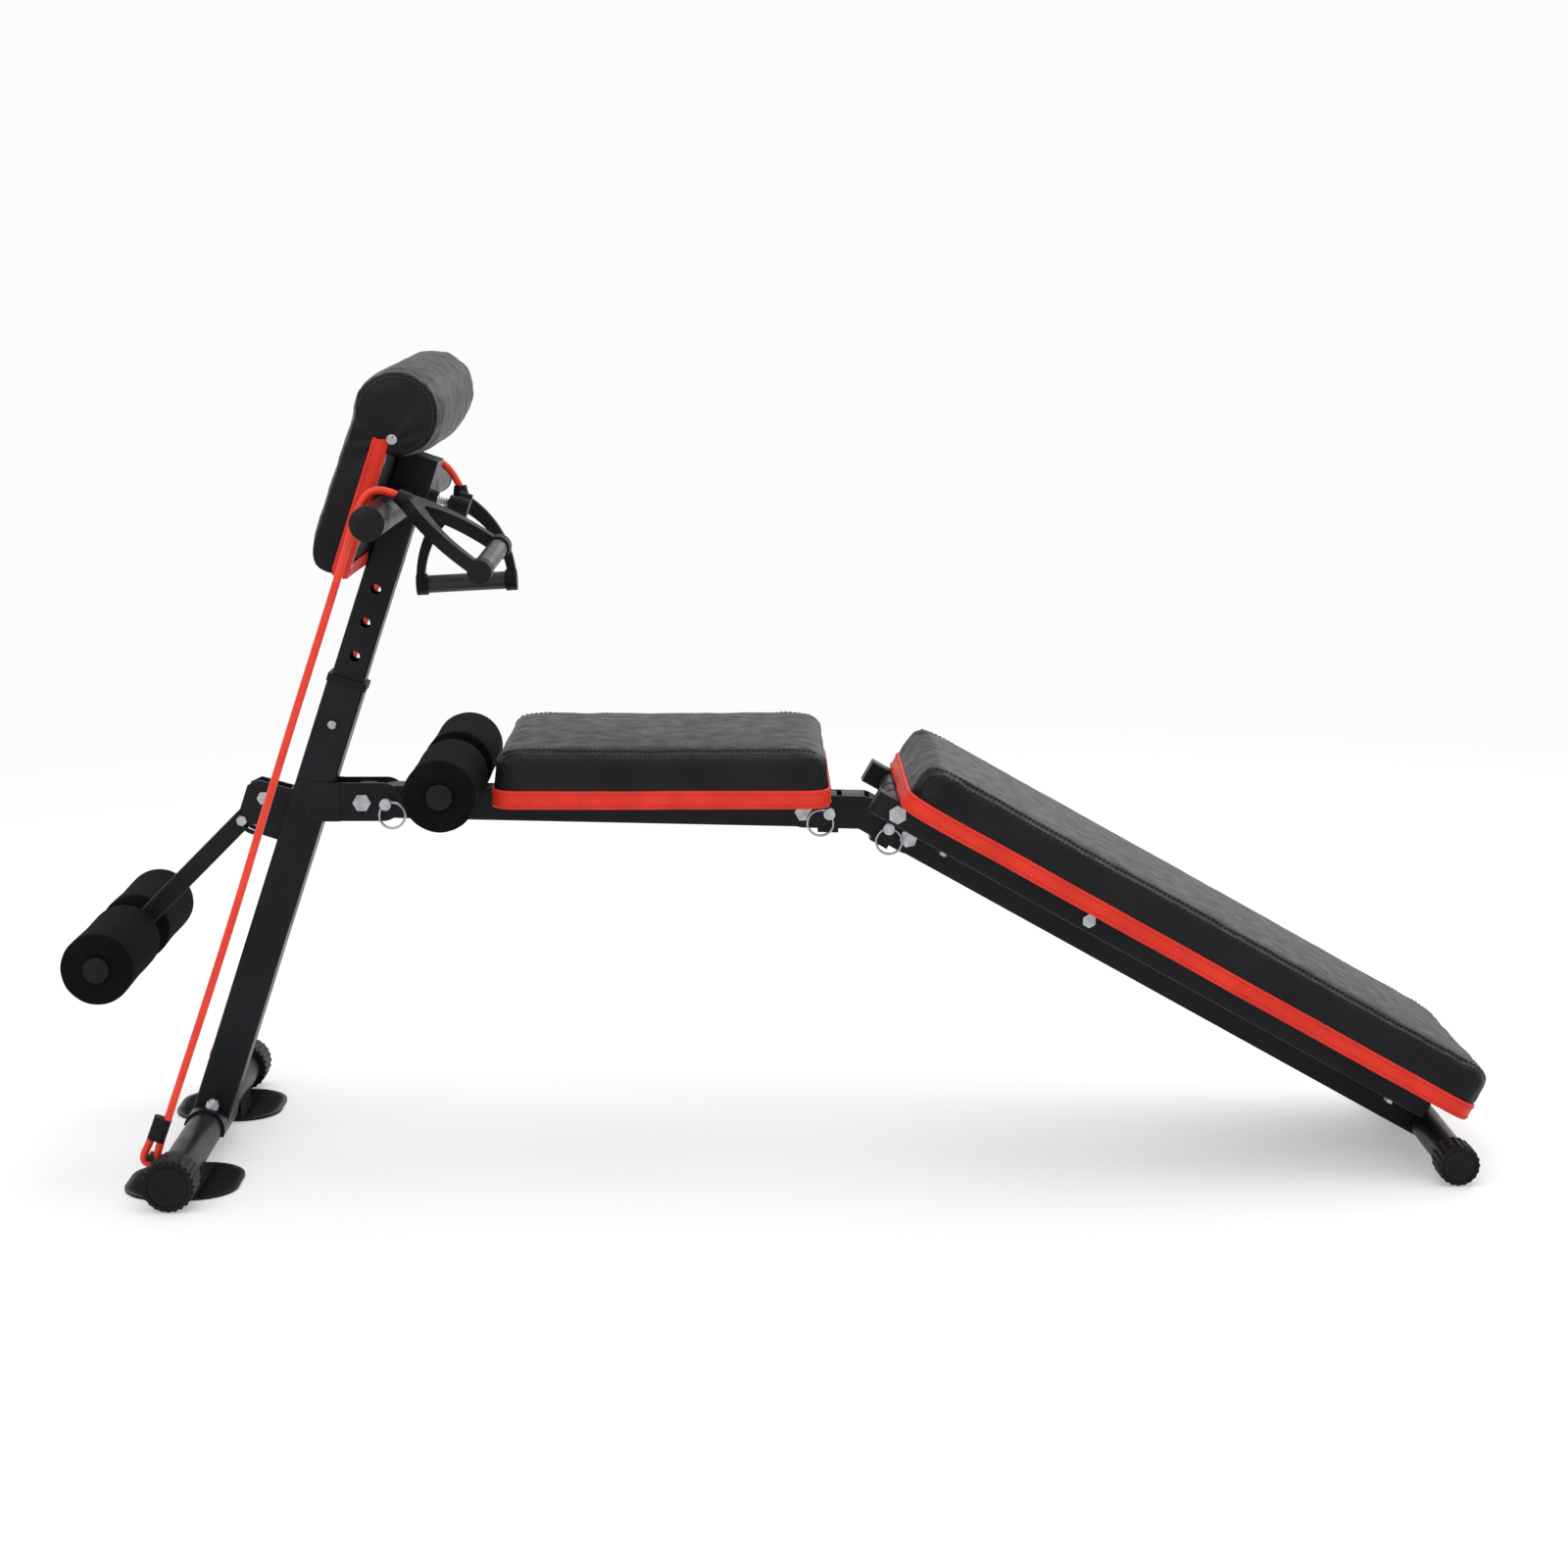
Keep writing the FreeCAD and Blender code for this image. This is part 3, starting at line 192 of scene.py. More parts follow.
def steel_look():
    look = Look("satin_black_steel", (0.008, 0.0084, 0.0104), 0.36)
    look.set("Specular IOR Level", 0.13)
    look.mix_color(look.noise(9, 6), (0.0058, 0.0062, 0.0082), (0.0102, 0.0108, 0.0138))
    look.vary("Roughness", look.noise(26, 8), 0.30, 0.46)
    look.raise_by(look.noise(1400, 2), 0.00012, 0.35)
    look.raise_by(look.noise(300, 3), 0.00030, 0.25)
    return look.material


def leather_look():
    look = Look("black_leather", (0.0055, 0.0055, 0.0065), 0.42)
    look.set("Specular IOR Level", 0.15)
    look.mix_color(look.noise(14, 6), (0.0035, 0.0035, 0.0044), (0.0070, 0.0069, 0.0080))
    look.vary("Roughness", look.noise(60, 7), 0.34, 0.52)
    look.raise_by(look.cells(720), 0.00045, 0.55)
    look.raise_by(look.cells(310, "F2"), 0.00035, 0.25)
    look.raise_by(look.noise(34, 4, 0.5), 0.0014, 0.16)
    return look.material


def trim_look():
    look = Look("red_trim", (0.60, 0.022, 0.008), 0.50)
    look.set("Specular IOR Level", 0.25)
    look.mix_color(look.noise(20, 5), (0.56, 0.018, 0.007), (0.68, 0.028, 0.011))
    look.raise_by(look.cells(800), 0.00035, 0.45)
    look.raise_by(look.noise(70, 4), 0.0009, 0.25)
    return look.material


def thread_look():
    look = Look("red_thread", (0.50, 0.020, 0.012), 0.75)
    look.raise_by(look.noise(2600, 2), 0.0002, 0.5)
    return look.material


def black_thread_look():
    look = Look("black_thread", (0.022, 0.022, 0.024), 0.7)
    look.raise_by(look.noise(2600, 2), 0.0002, 0.5)
    return look.material


def band_look():
    look = Look("red_band", (0.66, 0.032, 0.012), 0.34)
    look.set("Specular IOR Level", 0.35)
    look.mix_color(look.noise(36, 4), (0.62, 0.026, 0.010), (0.74, 0.042, 0.016))
    look.vary("Roughness", look.noise(90, 5), 0.26, 0.42)
    look.raise_by(look.noise(420, 3), 0.0002, 0.3)
    return look.material


def foam_look():
    look = Look("black_foam", (0.0050, 0.0050, 0.0055), 0.92)
    look.set("Specular IOR Level", 0.06)
    look.mix_color(look.noise(18, 6), (0.0035, 0.0035, 0.0038), (0.0065, 0.0065, 0.0068))
    look.raise_by(look.cells(1500), 0.0006, 0.65)
    look.raise_by(look.noise(160, 5), 0.0008, 0.35)
    return look.material


def plastic_look():
    look = Look("black_plastic", (0.006, 0.006, 0.0072), 0.44)
    look.set("Specular IOR Level", 0.14)
    look.mix_color(look.noise(30, 5), (0.0042, 0.0042, 0.0052), (0.0078, 0.0078, 0.0090))
    look.vary("Roughness", look.noise(55, 6), 0.40, 0.58)
    look.raise_by(look.noise(1100, 3), 0.0003, 0.45)
    return look.material


def zinc_look():
    look = Look("zinc_steel", (0.62, 0.63, 0.65), 0.30, metallic=1.0)
    look.mix_color(look.noise(120, 5), (0.30, 0.31, 0.33), (0.46, 0.47, 0.49))
    look.vary("Roughness", look.noise(420, 5), 0.22, 0.42)
    look.raise_by(look.noise(900, 3), 0.00015, 0.35)
    return look.material


def thread_steel_look():
    look = Look("threaded_steel", (0.60, 0.61, 0.63), 0.30, metallic=1.0)
    wave = look.node("ShaderNodeTexWave", Scale=160.0)
    mapping = look.node("ShaderNodeMapping")
    mapping.inputs["Rotation"].default_value = (0.0, math.radians(18.5), 0.0)
    look.link(look.coords, mapping.inputs["Vector"])
    look.link(mapping.outputs["Vector"], wave.inputs["Vector"])
    look.raise_by(wave.outputs["Fac"], 0.0008, 0.9)
    return look.material


def board_look():
    look = Look("board", (0.022, 0.021, 0.020), 0.74)
    look.set("Specular IOR Level", 0.2)
    look.mix_color(look.noise(16, 8, 0.6, (1, 9, 9)), (0.014, 0.0135, 0.013), (0.034, 0.031, 0.029))
    look.raise_by(look.noise(60, 8, 0.6, (1, 12, 12)), 0.0006, 0.5)
    return look.material


def rubber_look():
    look = Look("black_rubber", (0.020, 0.020, 0.022), 0.40)
    look.set("Specular IOR Level", 0.45)
    look.vary("Roughness", look.noise(80, 5), 0.34, 0.52)
    look.raise_by(look.noise(700, 3), 0.0003, 0.4)
    return look.material


def floor_look():
    """Pale floor that fades to the backdrop's white a few metres out."""
    look = Look("floor", (0.88, 0.88, 0.885), 0.60)
    look.set("Specular IOR Level", 0.2)
    look.vary("Roughness", look.noise(3, 5), 0.52, 0.66)
    look.raise_by(look.noise(240, 3), 0.0002, 0.15)
    glow = look.node("ShaderNodeEmission", Color=(1.0, 1.0, 1.0, 1.0), Strength=0.97)
    far = look.node("ShaderNodeVectorMath", operation="LENGTH")
    look.link(look.coords, far.inputs[0])
    blend = look.node("ShaderNodeMixShader")
    look.link(look.ramp(far.outputs["Value"], 0.30, 1.0, (1.0, 3.2)), blend.inputs[0])
    look.link(look.shader.outputs["BSDF"], blend.inputs[1])
    look.link(glow.outputs["Emission"], blend.inputs[2])
    look.link(blend.outputs["Shader"], look.tree.nodes["Material Output"].inputs["Surface"])
    return look.material


LOOKS = {
    "satin_black_steel": steel_look(),
    "black_leather": leather_look(),
    "red_band": band_look(),
    "black_foam": foam_look(),
    "black_plastic": plastic_look(),
    "zinc_steel": zinc_look(),
    "board": board_look(),
    "black_rubber": rubber_look(),
}
TRIM = trim_look()
RED_THREAD = thread_look()
BLACK_THREAD = black_thread_look()
THREADED = thread_steel_look()


def paint(obj, material):
    obj.data.materials.clear()
    obj.data.materials.append(material)
    return obj


def dress_cad():
    for row in frame["record"]["subparts"]:
        obj = nodes[row["node"]]
        paint(obj, LOOKS[row["material_slot"]])
    paint(nodes["clamp_screw"], THREADED)


# ---------------------------------------------------------------- mesh helpers

def add(name, verts, faces, material, body, smooth=True):
    mesh = bpy.data.meshes.new(name)
    mesh.from_pydata([tuple(v) for v in verts], [], faces)
    mesh.validate()
    obj = bpy.data.objects.new(name, mesh)
    scene.collection.objects.link(obj)
    if smooth:
        mesh.polygons.foreach_set("use_smooth", [True] * len(mesh.polygons))
    paint(obj, material)
    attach(obj, body)
    return obj


def read(mesh):
    co = np.zeros(len(mesh.vertices) * 3)
    mesh.vertices.foreach_get("co", co)
    return co.reshape(-1, 3)


def write(mesh, co):
    mesh.vertices.foreach_set("co", co.astype(np.float32).ravel())
    mesh.update()


def normals(mesh):
    out = np.zeros(len(mesh.vertices) * 3)
    mesh.vertex_normals.foreach_get("vector", out)
    return out.reshape(-1, 3)


def to_local(co, matrix):
    inverse = np.array(matrix.inverted())
    return co @ inverse[:3, :3].T + inverse[:3, 3]


def to_world(co, matrix):
    m = np.array(matrix)
    return co @ m[:3, :3].T + m[:3, 3]


def tube_mesh(path, radius, sides=10, closed=False, radii=None):
    """Vertices and faces of a tube along a list of points."""
    path = [Vector(p) for p in path]
    count = len(path)
    verts, faces = [], []
    up = None
    for i, point in enumerate(path):
        before = path[i - 1] if (i or closed) else path[0]
        after = path[(i + 1) % count] if (i < count - 1 or closed) else path[-1]
        tangent = (after - before).normalized()
        if up is None:
            up = tangent.orthogonal().normalized()
        side = tangent.cross(up).normalized()
        up = side.cross(tangent).normalized()
        r = radii[i] if radii else radius
        for k in range(sides):
            a = 2 * math.pi * k / sides
            verts.append(point + r * (math.cos(a) * up + math.sin(a) * side))
    rings = count if closed else count - 1
    for i in range(rings):
        a, b = i * sides, ((i + 1) % count) * sides
        for k in range(sides):
            n = (k + 1) % sides
            faces.append((a + k, a + n, b + n, b + k))
    if not closed:
        faces.append(tuple(range(sides))[::-1])
        faces.append(tuple(range((count - 1) * sides, count * sides)))
    return verts, faces


def join(parts):
    verts, faces = [], []
    for v, f in parts:
        start = len(verts)
        verts.extend(v)
        faces.extend(tuple(i + start for i in face) for face in f)
    return verts, faces


def stitches(name, path, body, material, pitch=0.0052, length=0.0036, radius=0.00055, lift=None):
    """Row of thread stitches along a dense path. lift gives the outward direction at each point."""
    path = [Vector(p) for p in path]
    parts = []
    travelled = 0.0
    due = 0.0
    for i in range(len(path) - 1):
        a, b = path[i], path[i + 1]
        step = (b - a).length
        while step > 0 and due <= travelled + step:
            t = (due - travelled) / step
            center = a.lerp(b, t)
            along = (b - a).normalized() * (length / 2)
            out = (lift[i] if lift else Vector((0, 0, 1))) * radius
            points = [center - along - out * 0.9, center - along * 0.6 + out * 0.5,
                      center + along * 0.6 + out * 0.5, center + along - out * 0.9]
            parts.append(tube_mesh(points, radius, 5))
            due += pitch
        travelled += step
    verts, faces = join(parts)
    return add(name, verts, faces, material, body)


def rounded_outline(x0, x1, y0, y1, radius, per_corner=10, open_end=False):
    """Closed outline with rounded corners, evenly dense, in local X and Y with outward normals."""
    corners = [((x1 - radius, y1 - radius), 0), ((x0 + radius, y1 - radius), 90),
               ((x0 + radius, y0 + radius), 180), ((x1 - radius, y0 + radius), 270)]
    if open_end:
        corners = corners[1:3]
    points = []
    for (cx, cy), start in corners:
        for i in range(per_corner + 1):
            a = math.radians(start + 90 * i / per_corner)
            points.append((cx + radius * math.cos(a), cy + radius * math.sin(a), math.cos(a), math.sin(a)))
    if open_end:
        points = [(x1, y1, 0, 1)] + points + [(x1, y0, 0, -1)]
    return points


def densify(points, step, closed=True):
    """The outline again, with points about step apart."""
    out = []
    count = len(points)
    last = count if closed else count - 1
    for i in range(last):
        a, b = points[i], points[(i + 1) % count]
        n = max(1, int(math.dist(a[:2], b[:2]) / step))
        for k in range(n):
            t = k / n
            out.append(tuple(p + (q - p) * t for p, q in zip(a, b)))
    if not closed:
        out.append(points[-1])
    return out


def trim_profile(z0, z1, proud, flap):
    """Section of a trim strip, as (how far out, height): its face and its flap under the board."""
    return [
        (-0.003, z1 + 0.0006),
        (proud * 0.6, z1 + 0.0002),
        (proud, z1 - 0.0012),
        (proud * 0.8, (z0 + z1) / 2),
        (proud, z0 + 0.0016),
        (proud * 0.4, z0 - 0.0006),
        (-0.004, z0 - 0.0011),
        (-flap, z0 - 0.0011),
        (-flap, z0 - 0.0003),
        (-0.004, z0 - 0.0003),
        (-0.003, z0 + 0.001),
    ]


def trim_strip(name, matrix, outline, z0, z1, body, closed=True, flap=0.018, proud=0.0012, notch=0.0):
    """Stitched strip round the side of a cushion, folded under its board.

    notch is half the width of the gap that the fold leaves at the head end.
    """
    dense = densify(outline, 0.006, closed)
    profile = trim_profile(z0, z1, proud, flap)
    verts, faces = [], []
    for j, (x, y, nx, ny) in enumerate(dense):
        for i, (out, z) in enumerate(profile):
            ripple = 0.00035 * math.sin(j * 0.9 + i) * noise.noise(Vector((x * 30, y * 30, i * 0.7)))
            wave = 0.0005 * noise.noise(Vector((x * 18, y * 18, 3.1)))
            if nx < -0.9 and abs(y) < notch:
                out = max(out, -0.003)
                z = max(z, z0 + 0.0022)
            verts.append(matrix @ Vector((x + nx * (out + ripple), y + ny * (out + ripple), z + wave)))
    width = len(profile)
    count = len(dense)
    for j in range(count if closed else count - 1):
        a, b = j * width, ((j + 1) % count) * width
        for i in range(width):
            n = (i + 1) % width
            faces.append((a + i, b + i, b + n, a + n))
    if not closed:
        faces.append(tuple(range(width))[::-1])
        faces.append(tuple(range((count - 1) * width, count * width)))
    add(name, verts, faces, TRIM, body)
    turn = matrix.to_3x3()
    out = proud + 0.0002
    for label, z in (("low", z0 + THREAD_GAP), ("high", z1 - THREAD_GAP)):
        path = [matrix @ Vector((x + nx * out, y + ny * out, z)) for x, y, nx, ny in dense]
        lift = [(turn @ Vector((nx, ny, 0))).normalized() for _, _, nx, ny in dense]
        if closed:
            path.append(path[0])
        stitches(f"{name}_stitches_{label}", path, body, RED_THREAD, lift=lift)


def staples(name, matrix, outline, inset, z, body, closed=True):
    """Row of wire staples that hold the folded cover to the underside of a board."""
    parts = []
    half = 0.0052
    crown = [(-half, 0.0012), (-half * 0.92, -0.0004), (half * 0.92, -0.0004), (half, 0.0012)]
    dense = densify(outline, 0.024, closed)
    for i, (x, y, nx, ny) in enumerate(dense):
        if not 0 < i < len(dense) - 1:
            continue
        turn = 0.5 * noise.noise(Vector((x * 40, y * 40, 0.5)))
        cx, cy = x - nx * inset, y - ny * inset
        tx = -ny * math.cos(turn) - nx * math.sin(turn)
        ty = nx * math.cos(turn) - ny * math.sin(turn)
        path = [(cx + tx * reach, cy + ty * reach, z + rise) for reach, rise in crown]
        parts.append(tube_mesh([matrix @ Vector(p) for p in path], 0.0005, 6))
    verts, faces = join(parts)
    return add(name, verts, faces, LOOKS["zinc_steel"], body)


def plate_reach(y):
    """How far a foot plate reaches to each side of the foot tube, at y from its middle."""
    flat_half, corner, length = 0.017, 0.046, 0.0585
    past = abs(y) - flat_half
    if past < 0:
        return length
    return length - corner + math.sqrt(max(0.0, corner ** 2 - past ** 2))


def tread_ribs():
    """Raised anti-slip ribs on the two foot plates."""
    low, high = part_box("foot_plates")
    plate_y, tube_half, edge, top = 0.145, 0.021, 0.004, 0.0030
    for sign, tag in SIDES:
        parts = []
        for k in range(-9, 10):
            y = k * 0.0062
            reach = plate_reach(y) - edge
            for x0, x1 in ((-reach, -tube_half), (tube_half, reach)):
                if x1 - x0 < 0.004:
                    continue
                center = Vector(((low.x + high.x) / 2, sign * plate_y + y, top))
                path = [center + Vector((x0 + (x1 - x0) * i / 6, 0, 0.0001)) for i in range(7)]
                radii = [0.0004] + [0.0009] * 5 + [0.0004]
                parts.append(tube_mesh(path, 0.0009, 8, False, radii))
        verts, faces = join(parts)
        add(f"tread_ribs_{tag}", verts, faces, LOOKS["satin_black_steel"], "post")


# ---------------------------------------------------------------- cushions

def cushion_from(node, name, voxel):
    """Copy of a CAD cushion with an even mesh, ready to be shaped."""
    source = nodes[node]
    obj = bpy.data.objects.new(name, source.data.copy())
    scene.collection.objects.link(obj)
    remesh = obj.modifiers.new("remesh", "REMESH")
    remesh.mode = "VOXEL"
    remesh.voxel_size = voxel
    smooth = obj.modifiers.new("smooth", "SMOOTH")
    smooth.iterations = 3
    bake(obj)
    paint(obj, LOOKS["black_leather"])
    return obj


def bake(obj):
    """Puts what the modifiers make of the object into its own mesh."""
    graph = bpy.context.evaluated_depsgraph_get()
    made = bpy.data.meshes.new_from_object(obj.evaluated_get(graph))
    obj.modifiers.clear()
    old = obj.data
    obj.data = made
    bpy.data.meshes.remove(old)


def inflate(obj, pinned, pressure=4.0, cap=0.005, shrink=-0.035):
    """Cloth under inner pressure, held at the pinned vertices, with a limit on how far it goes."""
    before = read(obj.data)
    group = obj.vertex_groups.new(name="pin")
    group.add([int(i) for i in np.nonzero(pinned)[0]], 1.0, "REPLACE")
    cloth = obj.modifiers.new("cloth", "CLOTH")
    settings = cloth.settings
    settings.quality = 4
    settings.mass = 0.25
    settings.tension_stiffness = 12
    settings.compression_stiffness = 12
    settings.shear_stiffness = 4
    settings.bending_stiffness = 0.3
    settings.use_pressure = True
    settings.uniform_pressure_force = pressure
    settings.vertex_group_mass = "pin"
    settings.shrink_min = shrink
    settings.effector_weights.gravity = 0.0
    cloth.collision_settings.use_collision = False
    cloth.collision_settings.use_self_collision = False
    cloth.point_cache.frame_start = 1
    cloth.point_cache.frame_end = 20
    for f in range(1, 21):
        scene.frame_set(f)
    graph = bpy.context.evaluated_depsgraph_get()
    after = read(obj.evaluated_get(graph).data).copy()
    obj.modifiers.clear()
    scene.frame_set(1)
    moved = after - before
    size = np.linalg.norm(moved, axis=1, keepdims=True)
    lost = ~np.isfinite(size)
    moved[lost[:, 0]] = 0
    size[lost] = 0
    write(obj.data, before + moved * cap / np.sqrt(size ** 2 + cap ** 2))


def ridge(points, scale, seed, stretch):
    """Soft folds: 1 at a crest and 0 in a valley, drawn out along a direction."""
    out = np.empty(len(points))
    for i, p in enumerate(points):
        v = Vector((p[0] * scale * stretch[0], p[1] * scale * stretch[1], p[2] * scale * stretch[2] + seed))
        out[i] = 1.0 - abs(noise.noise(v)) * 2.0
    return out


def finish_cushion(obj, node, body):
    """Subdivides the shaped cushion and puts it in the place of its CAD node."""
    finer = obj.modifiers.new("subdivide", "SUBSURF")
    finer.levels = 1
    finer.render_levels = 1
    bake(obj)
    obj.data.polygons.foreach_set("use_smooth", [True] * len(obj.data.polygons))
    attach(obj, body)
    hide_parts(node)


def surface_path(obj, points, out, reach=0.05):
    """Drops points on the cushion's surface, from outside along a direction."""
    tree = BVHTree.FromObject(obj, bpy.context.evaluated_depsgraph_get())
    found, lift = [], []
    for p in points:
        hit, normal, _, _ = tree.ray_cast(p + out * reach, -out, reach * 2)
        if hit is not None:
            found.append(hit + normal * 0.0004)
            lift.append(normal)
    return found, lift


def flat_cushion(node, name, body, matrix, ends, levels, seam_in):
    """Seat or backrest cushion: crowned top, seams along the edges, drawn folds at the corners.

    ends are its ends in local X, levels its underside and top in local Z, and seam_in how far
    the seams are from its sides.
    """
    x0, x1 = ends
    base_z, top_z = levels
    half = PAD_HALF
    obj = cushion_from(node, name, 0.005)
    local = to_local(read(obj.data), matrix)
    inflate(obj, local[:, 2] < base_z + 0.009, 4.0, 0.0035, -0.015)
    co = to_local(read(obj.data), matrix)
    nrm = normals(obj.data) @ np.array(matrix.to_3x3())
    length = x1 - x0
    across = np.abs(co[:, 1]) / half
    along = np.abs(co[:, 0] - (x0 + x1) / 2) / (length / 2)
    top = np.clip((co[:, 2] - (top_z - 0.012)) / 0.010, 0, 1)
    side = np.clip((co[:, 2] - base_z) / 0.010, 0, 1) * (1 - top)
    edge = np.minimum(half - np.abs(co[:, 1]), (length / 2) * (1 - along))
    crown = 0.0045 * (1 - across ** 2) * (1 - along ** 4) * top
    folds_in = ridge(co, 26, 4.2, (0.35, 1.0, 1.0)) ** 3
    folds_across = ridge(co, 30, 9.7, (1.0, 0.28, 1.0)) ** 3
    near_edge = np.exp(-np.clip(edge, 0, 1) / 0.035)
    pull = (0.0007 * folds_in + 0.0006 * folds_across) * near_edge * top
    corner = np.exp(-np.hypot(half - np.abs(co[:, 1]), (length / 2) * (1 - along)) / 0.05)
    spokes = np.sin(14 * np.arctan2(half - np.abs(co[:, 1]), (length / 2) * (1 - along)) + 2 * folds_in)
    seam = np.abs(np.abs(co[:, 1]) - (half - seam_in))
    groove = 0.0016 * np.exp(-(seam / 0.0032) ** 2) * top
    sags = 0.0008 * side * (folds_across - 0.4)
    shift = crown + pull + 0.0006 * corner * spokes * (top + 0.5 * side) - groove + sags
    co = co + nrm * shift[:, None]
    write(obj.data, to_world(co, matrix))
    finish_cushion(obj, node, body)
    up = (matrix.to_3x3() @ Vector((0, 0, 1))).normalized()
    for sign, tag in SIDES:
        for k, inset in enumerate((seam_in - 0.0045, seam_in + 0.0045)):
            points = []
            steps = int(length / 0.006)
            for i in range(steps + 1):
                x = x0 + 0.012 + (length - 0.024) * i / steps
                points.append(matrix @ Vector((x, sign * (half - inset), top_z)))
            path, lift = surface_path(obj, points, up)
            stitches(f"{name}_seam_{tag}_{k}", path, body, BLACK_THREAD, lift=lift)


def seat_cushion():
    flat_cushion("seat_pad", "seat_cushion", "seat", LEVEL, SEAT_X, SEAT_PAD_Z, SEAT_SEAM_IN)
    outline = rounded_outline(*SEAT_X, -PAD_HALF, PAD_HALF, SEAT_CORNER)
    trim_strip("seat_trim", LEVEL, outline, *SEAT_TRIM_Z, "seat")
    staples("seat_staples", LEVEL, outline, STAPLE_INSET, SEAT_TRIM_Z[0] - STAPLE_DROP, "seat")


def backrest_cushion():
    flat_cushion("backrest_pad", "backrest_cushion", "backrest", BACK, BACK_X, BACK_PAD_Z, BACK_SEAM_IN)
    outline = rounded_outline(*BACK_X, -PAD_HALF, PAD_HALF, BACK_CORNER)
    trim_strip("backrest_trim", BACK, outline, *BACK_TRIM_Z, "backrest", notch=ELBOW_GAP)
    staples("backrest_staples", BACK, outline, STAPLE_INSET, BACK_TRIM_Z[0] - STAPLE_DROP, "backrest")


def even_out(obj, rounds):
    """Smooths the roll's round side: each point moves half way to the middle of its neighbours."""
    co = read(obj.data)
    edges = np.array([e.vertices[:] for e in obj.data.edges])
    local = to_local(co, POST)
    free = (np.abs(local[:, 1]) < ROLL_HALF - 0.010) & (local[:, 0] > 0.765)
    count = np.bincount(edges.ravel(), minlength=len(co))[:, None]
    for _ in range(rounds):
        total = np.zeros_like(co)
        np.add.at(total, edges[:, 0], co[edges[:, 1]])
        np.add.at(total, edges[:, 1], co[edges[:, 0]])
        co = np.where(free[:, None], 0.5 * co + 0.5 * total / count, co)
    write(obj.data, co)


def settled(co):
    """The roll drawn in at its end seams and leaning down a little to the near side; the slab stays put."""
    lean_up, lean_back = 0.0068, 0.0010
    side = co[:, 1] / ROLL_HALF
    on_roll = np.clip((co[:, 0] - 0.700) / 0.11, 0, 1)
    on_roll = on_roll ** 2 * (3 - 2 * on_roll)
    drawn = on_roll * (0.035 + 0.065 * np.clip(np.abs(side), 0, 1) ** 10)
    ds = (co[:, 0] - ROLL_S) * (1 - drawn) + on_roll * (lean_up * side - 0.0006)
    dw = (co[:, 2] - ROLL_BACK) * (1 - drawn) + on_roll * (0.0005 - lean_back * side)
    return np.stack([ROLL_S + ds, co[:, 1], ROLL_BACK + dw], axis=1)


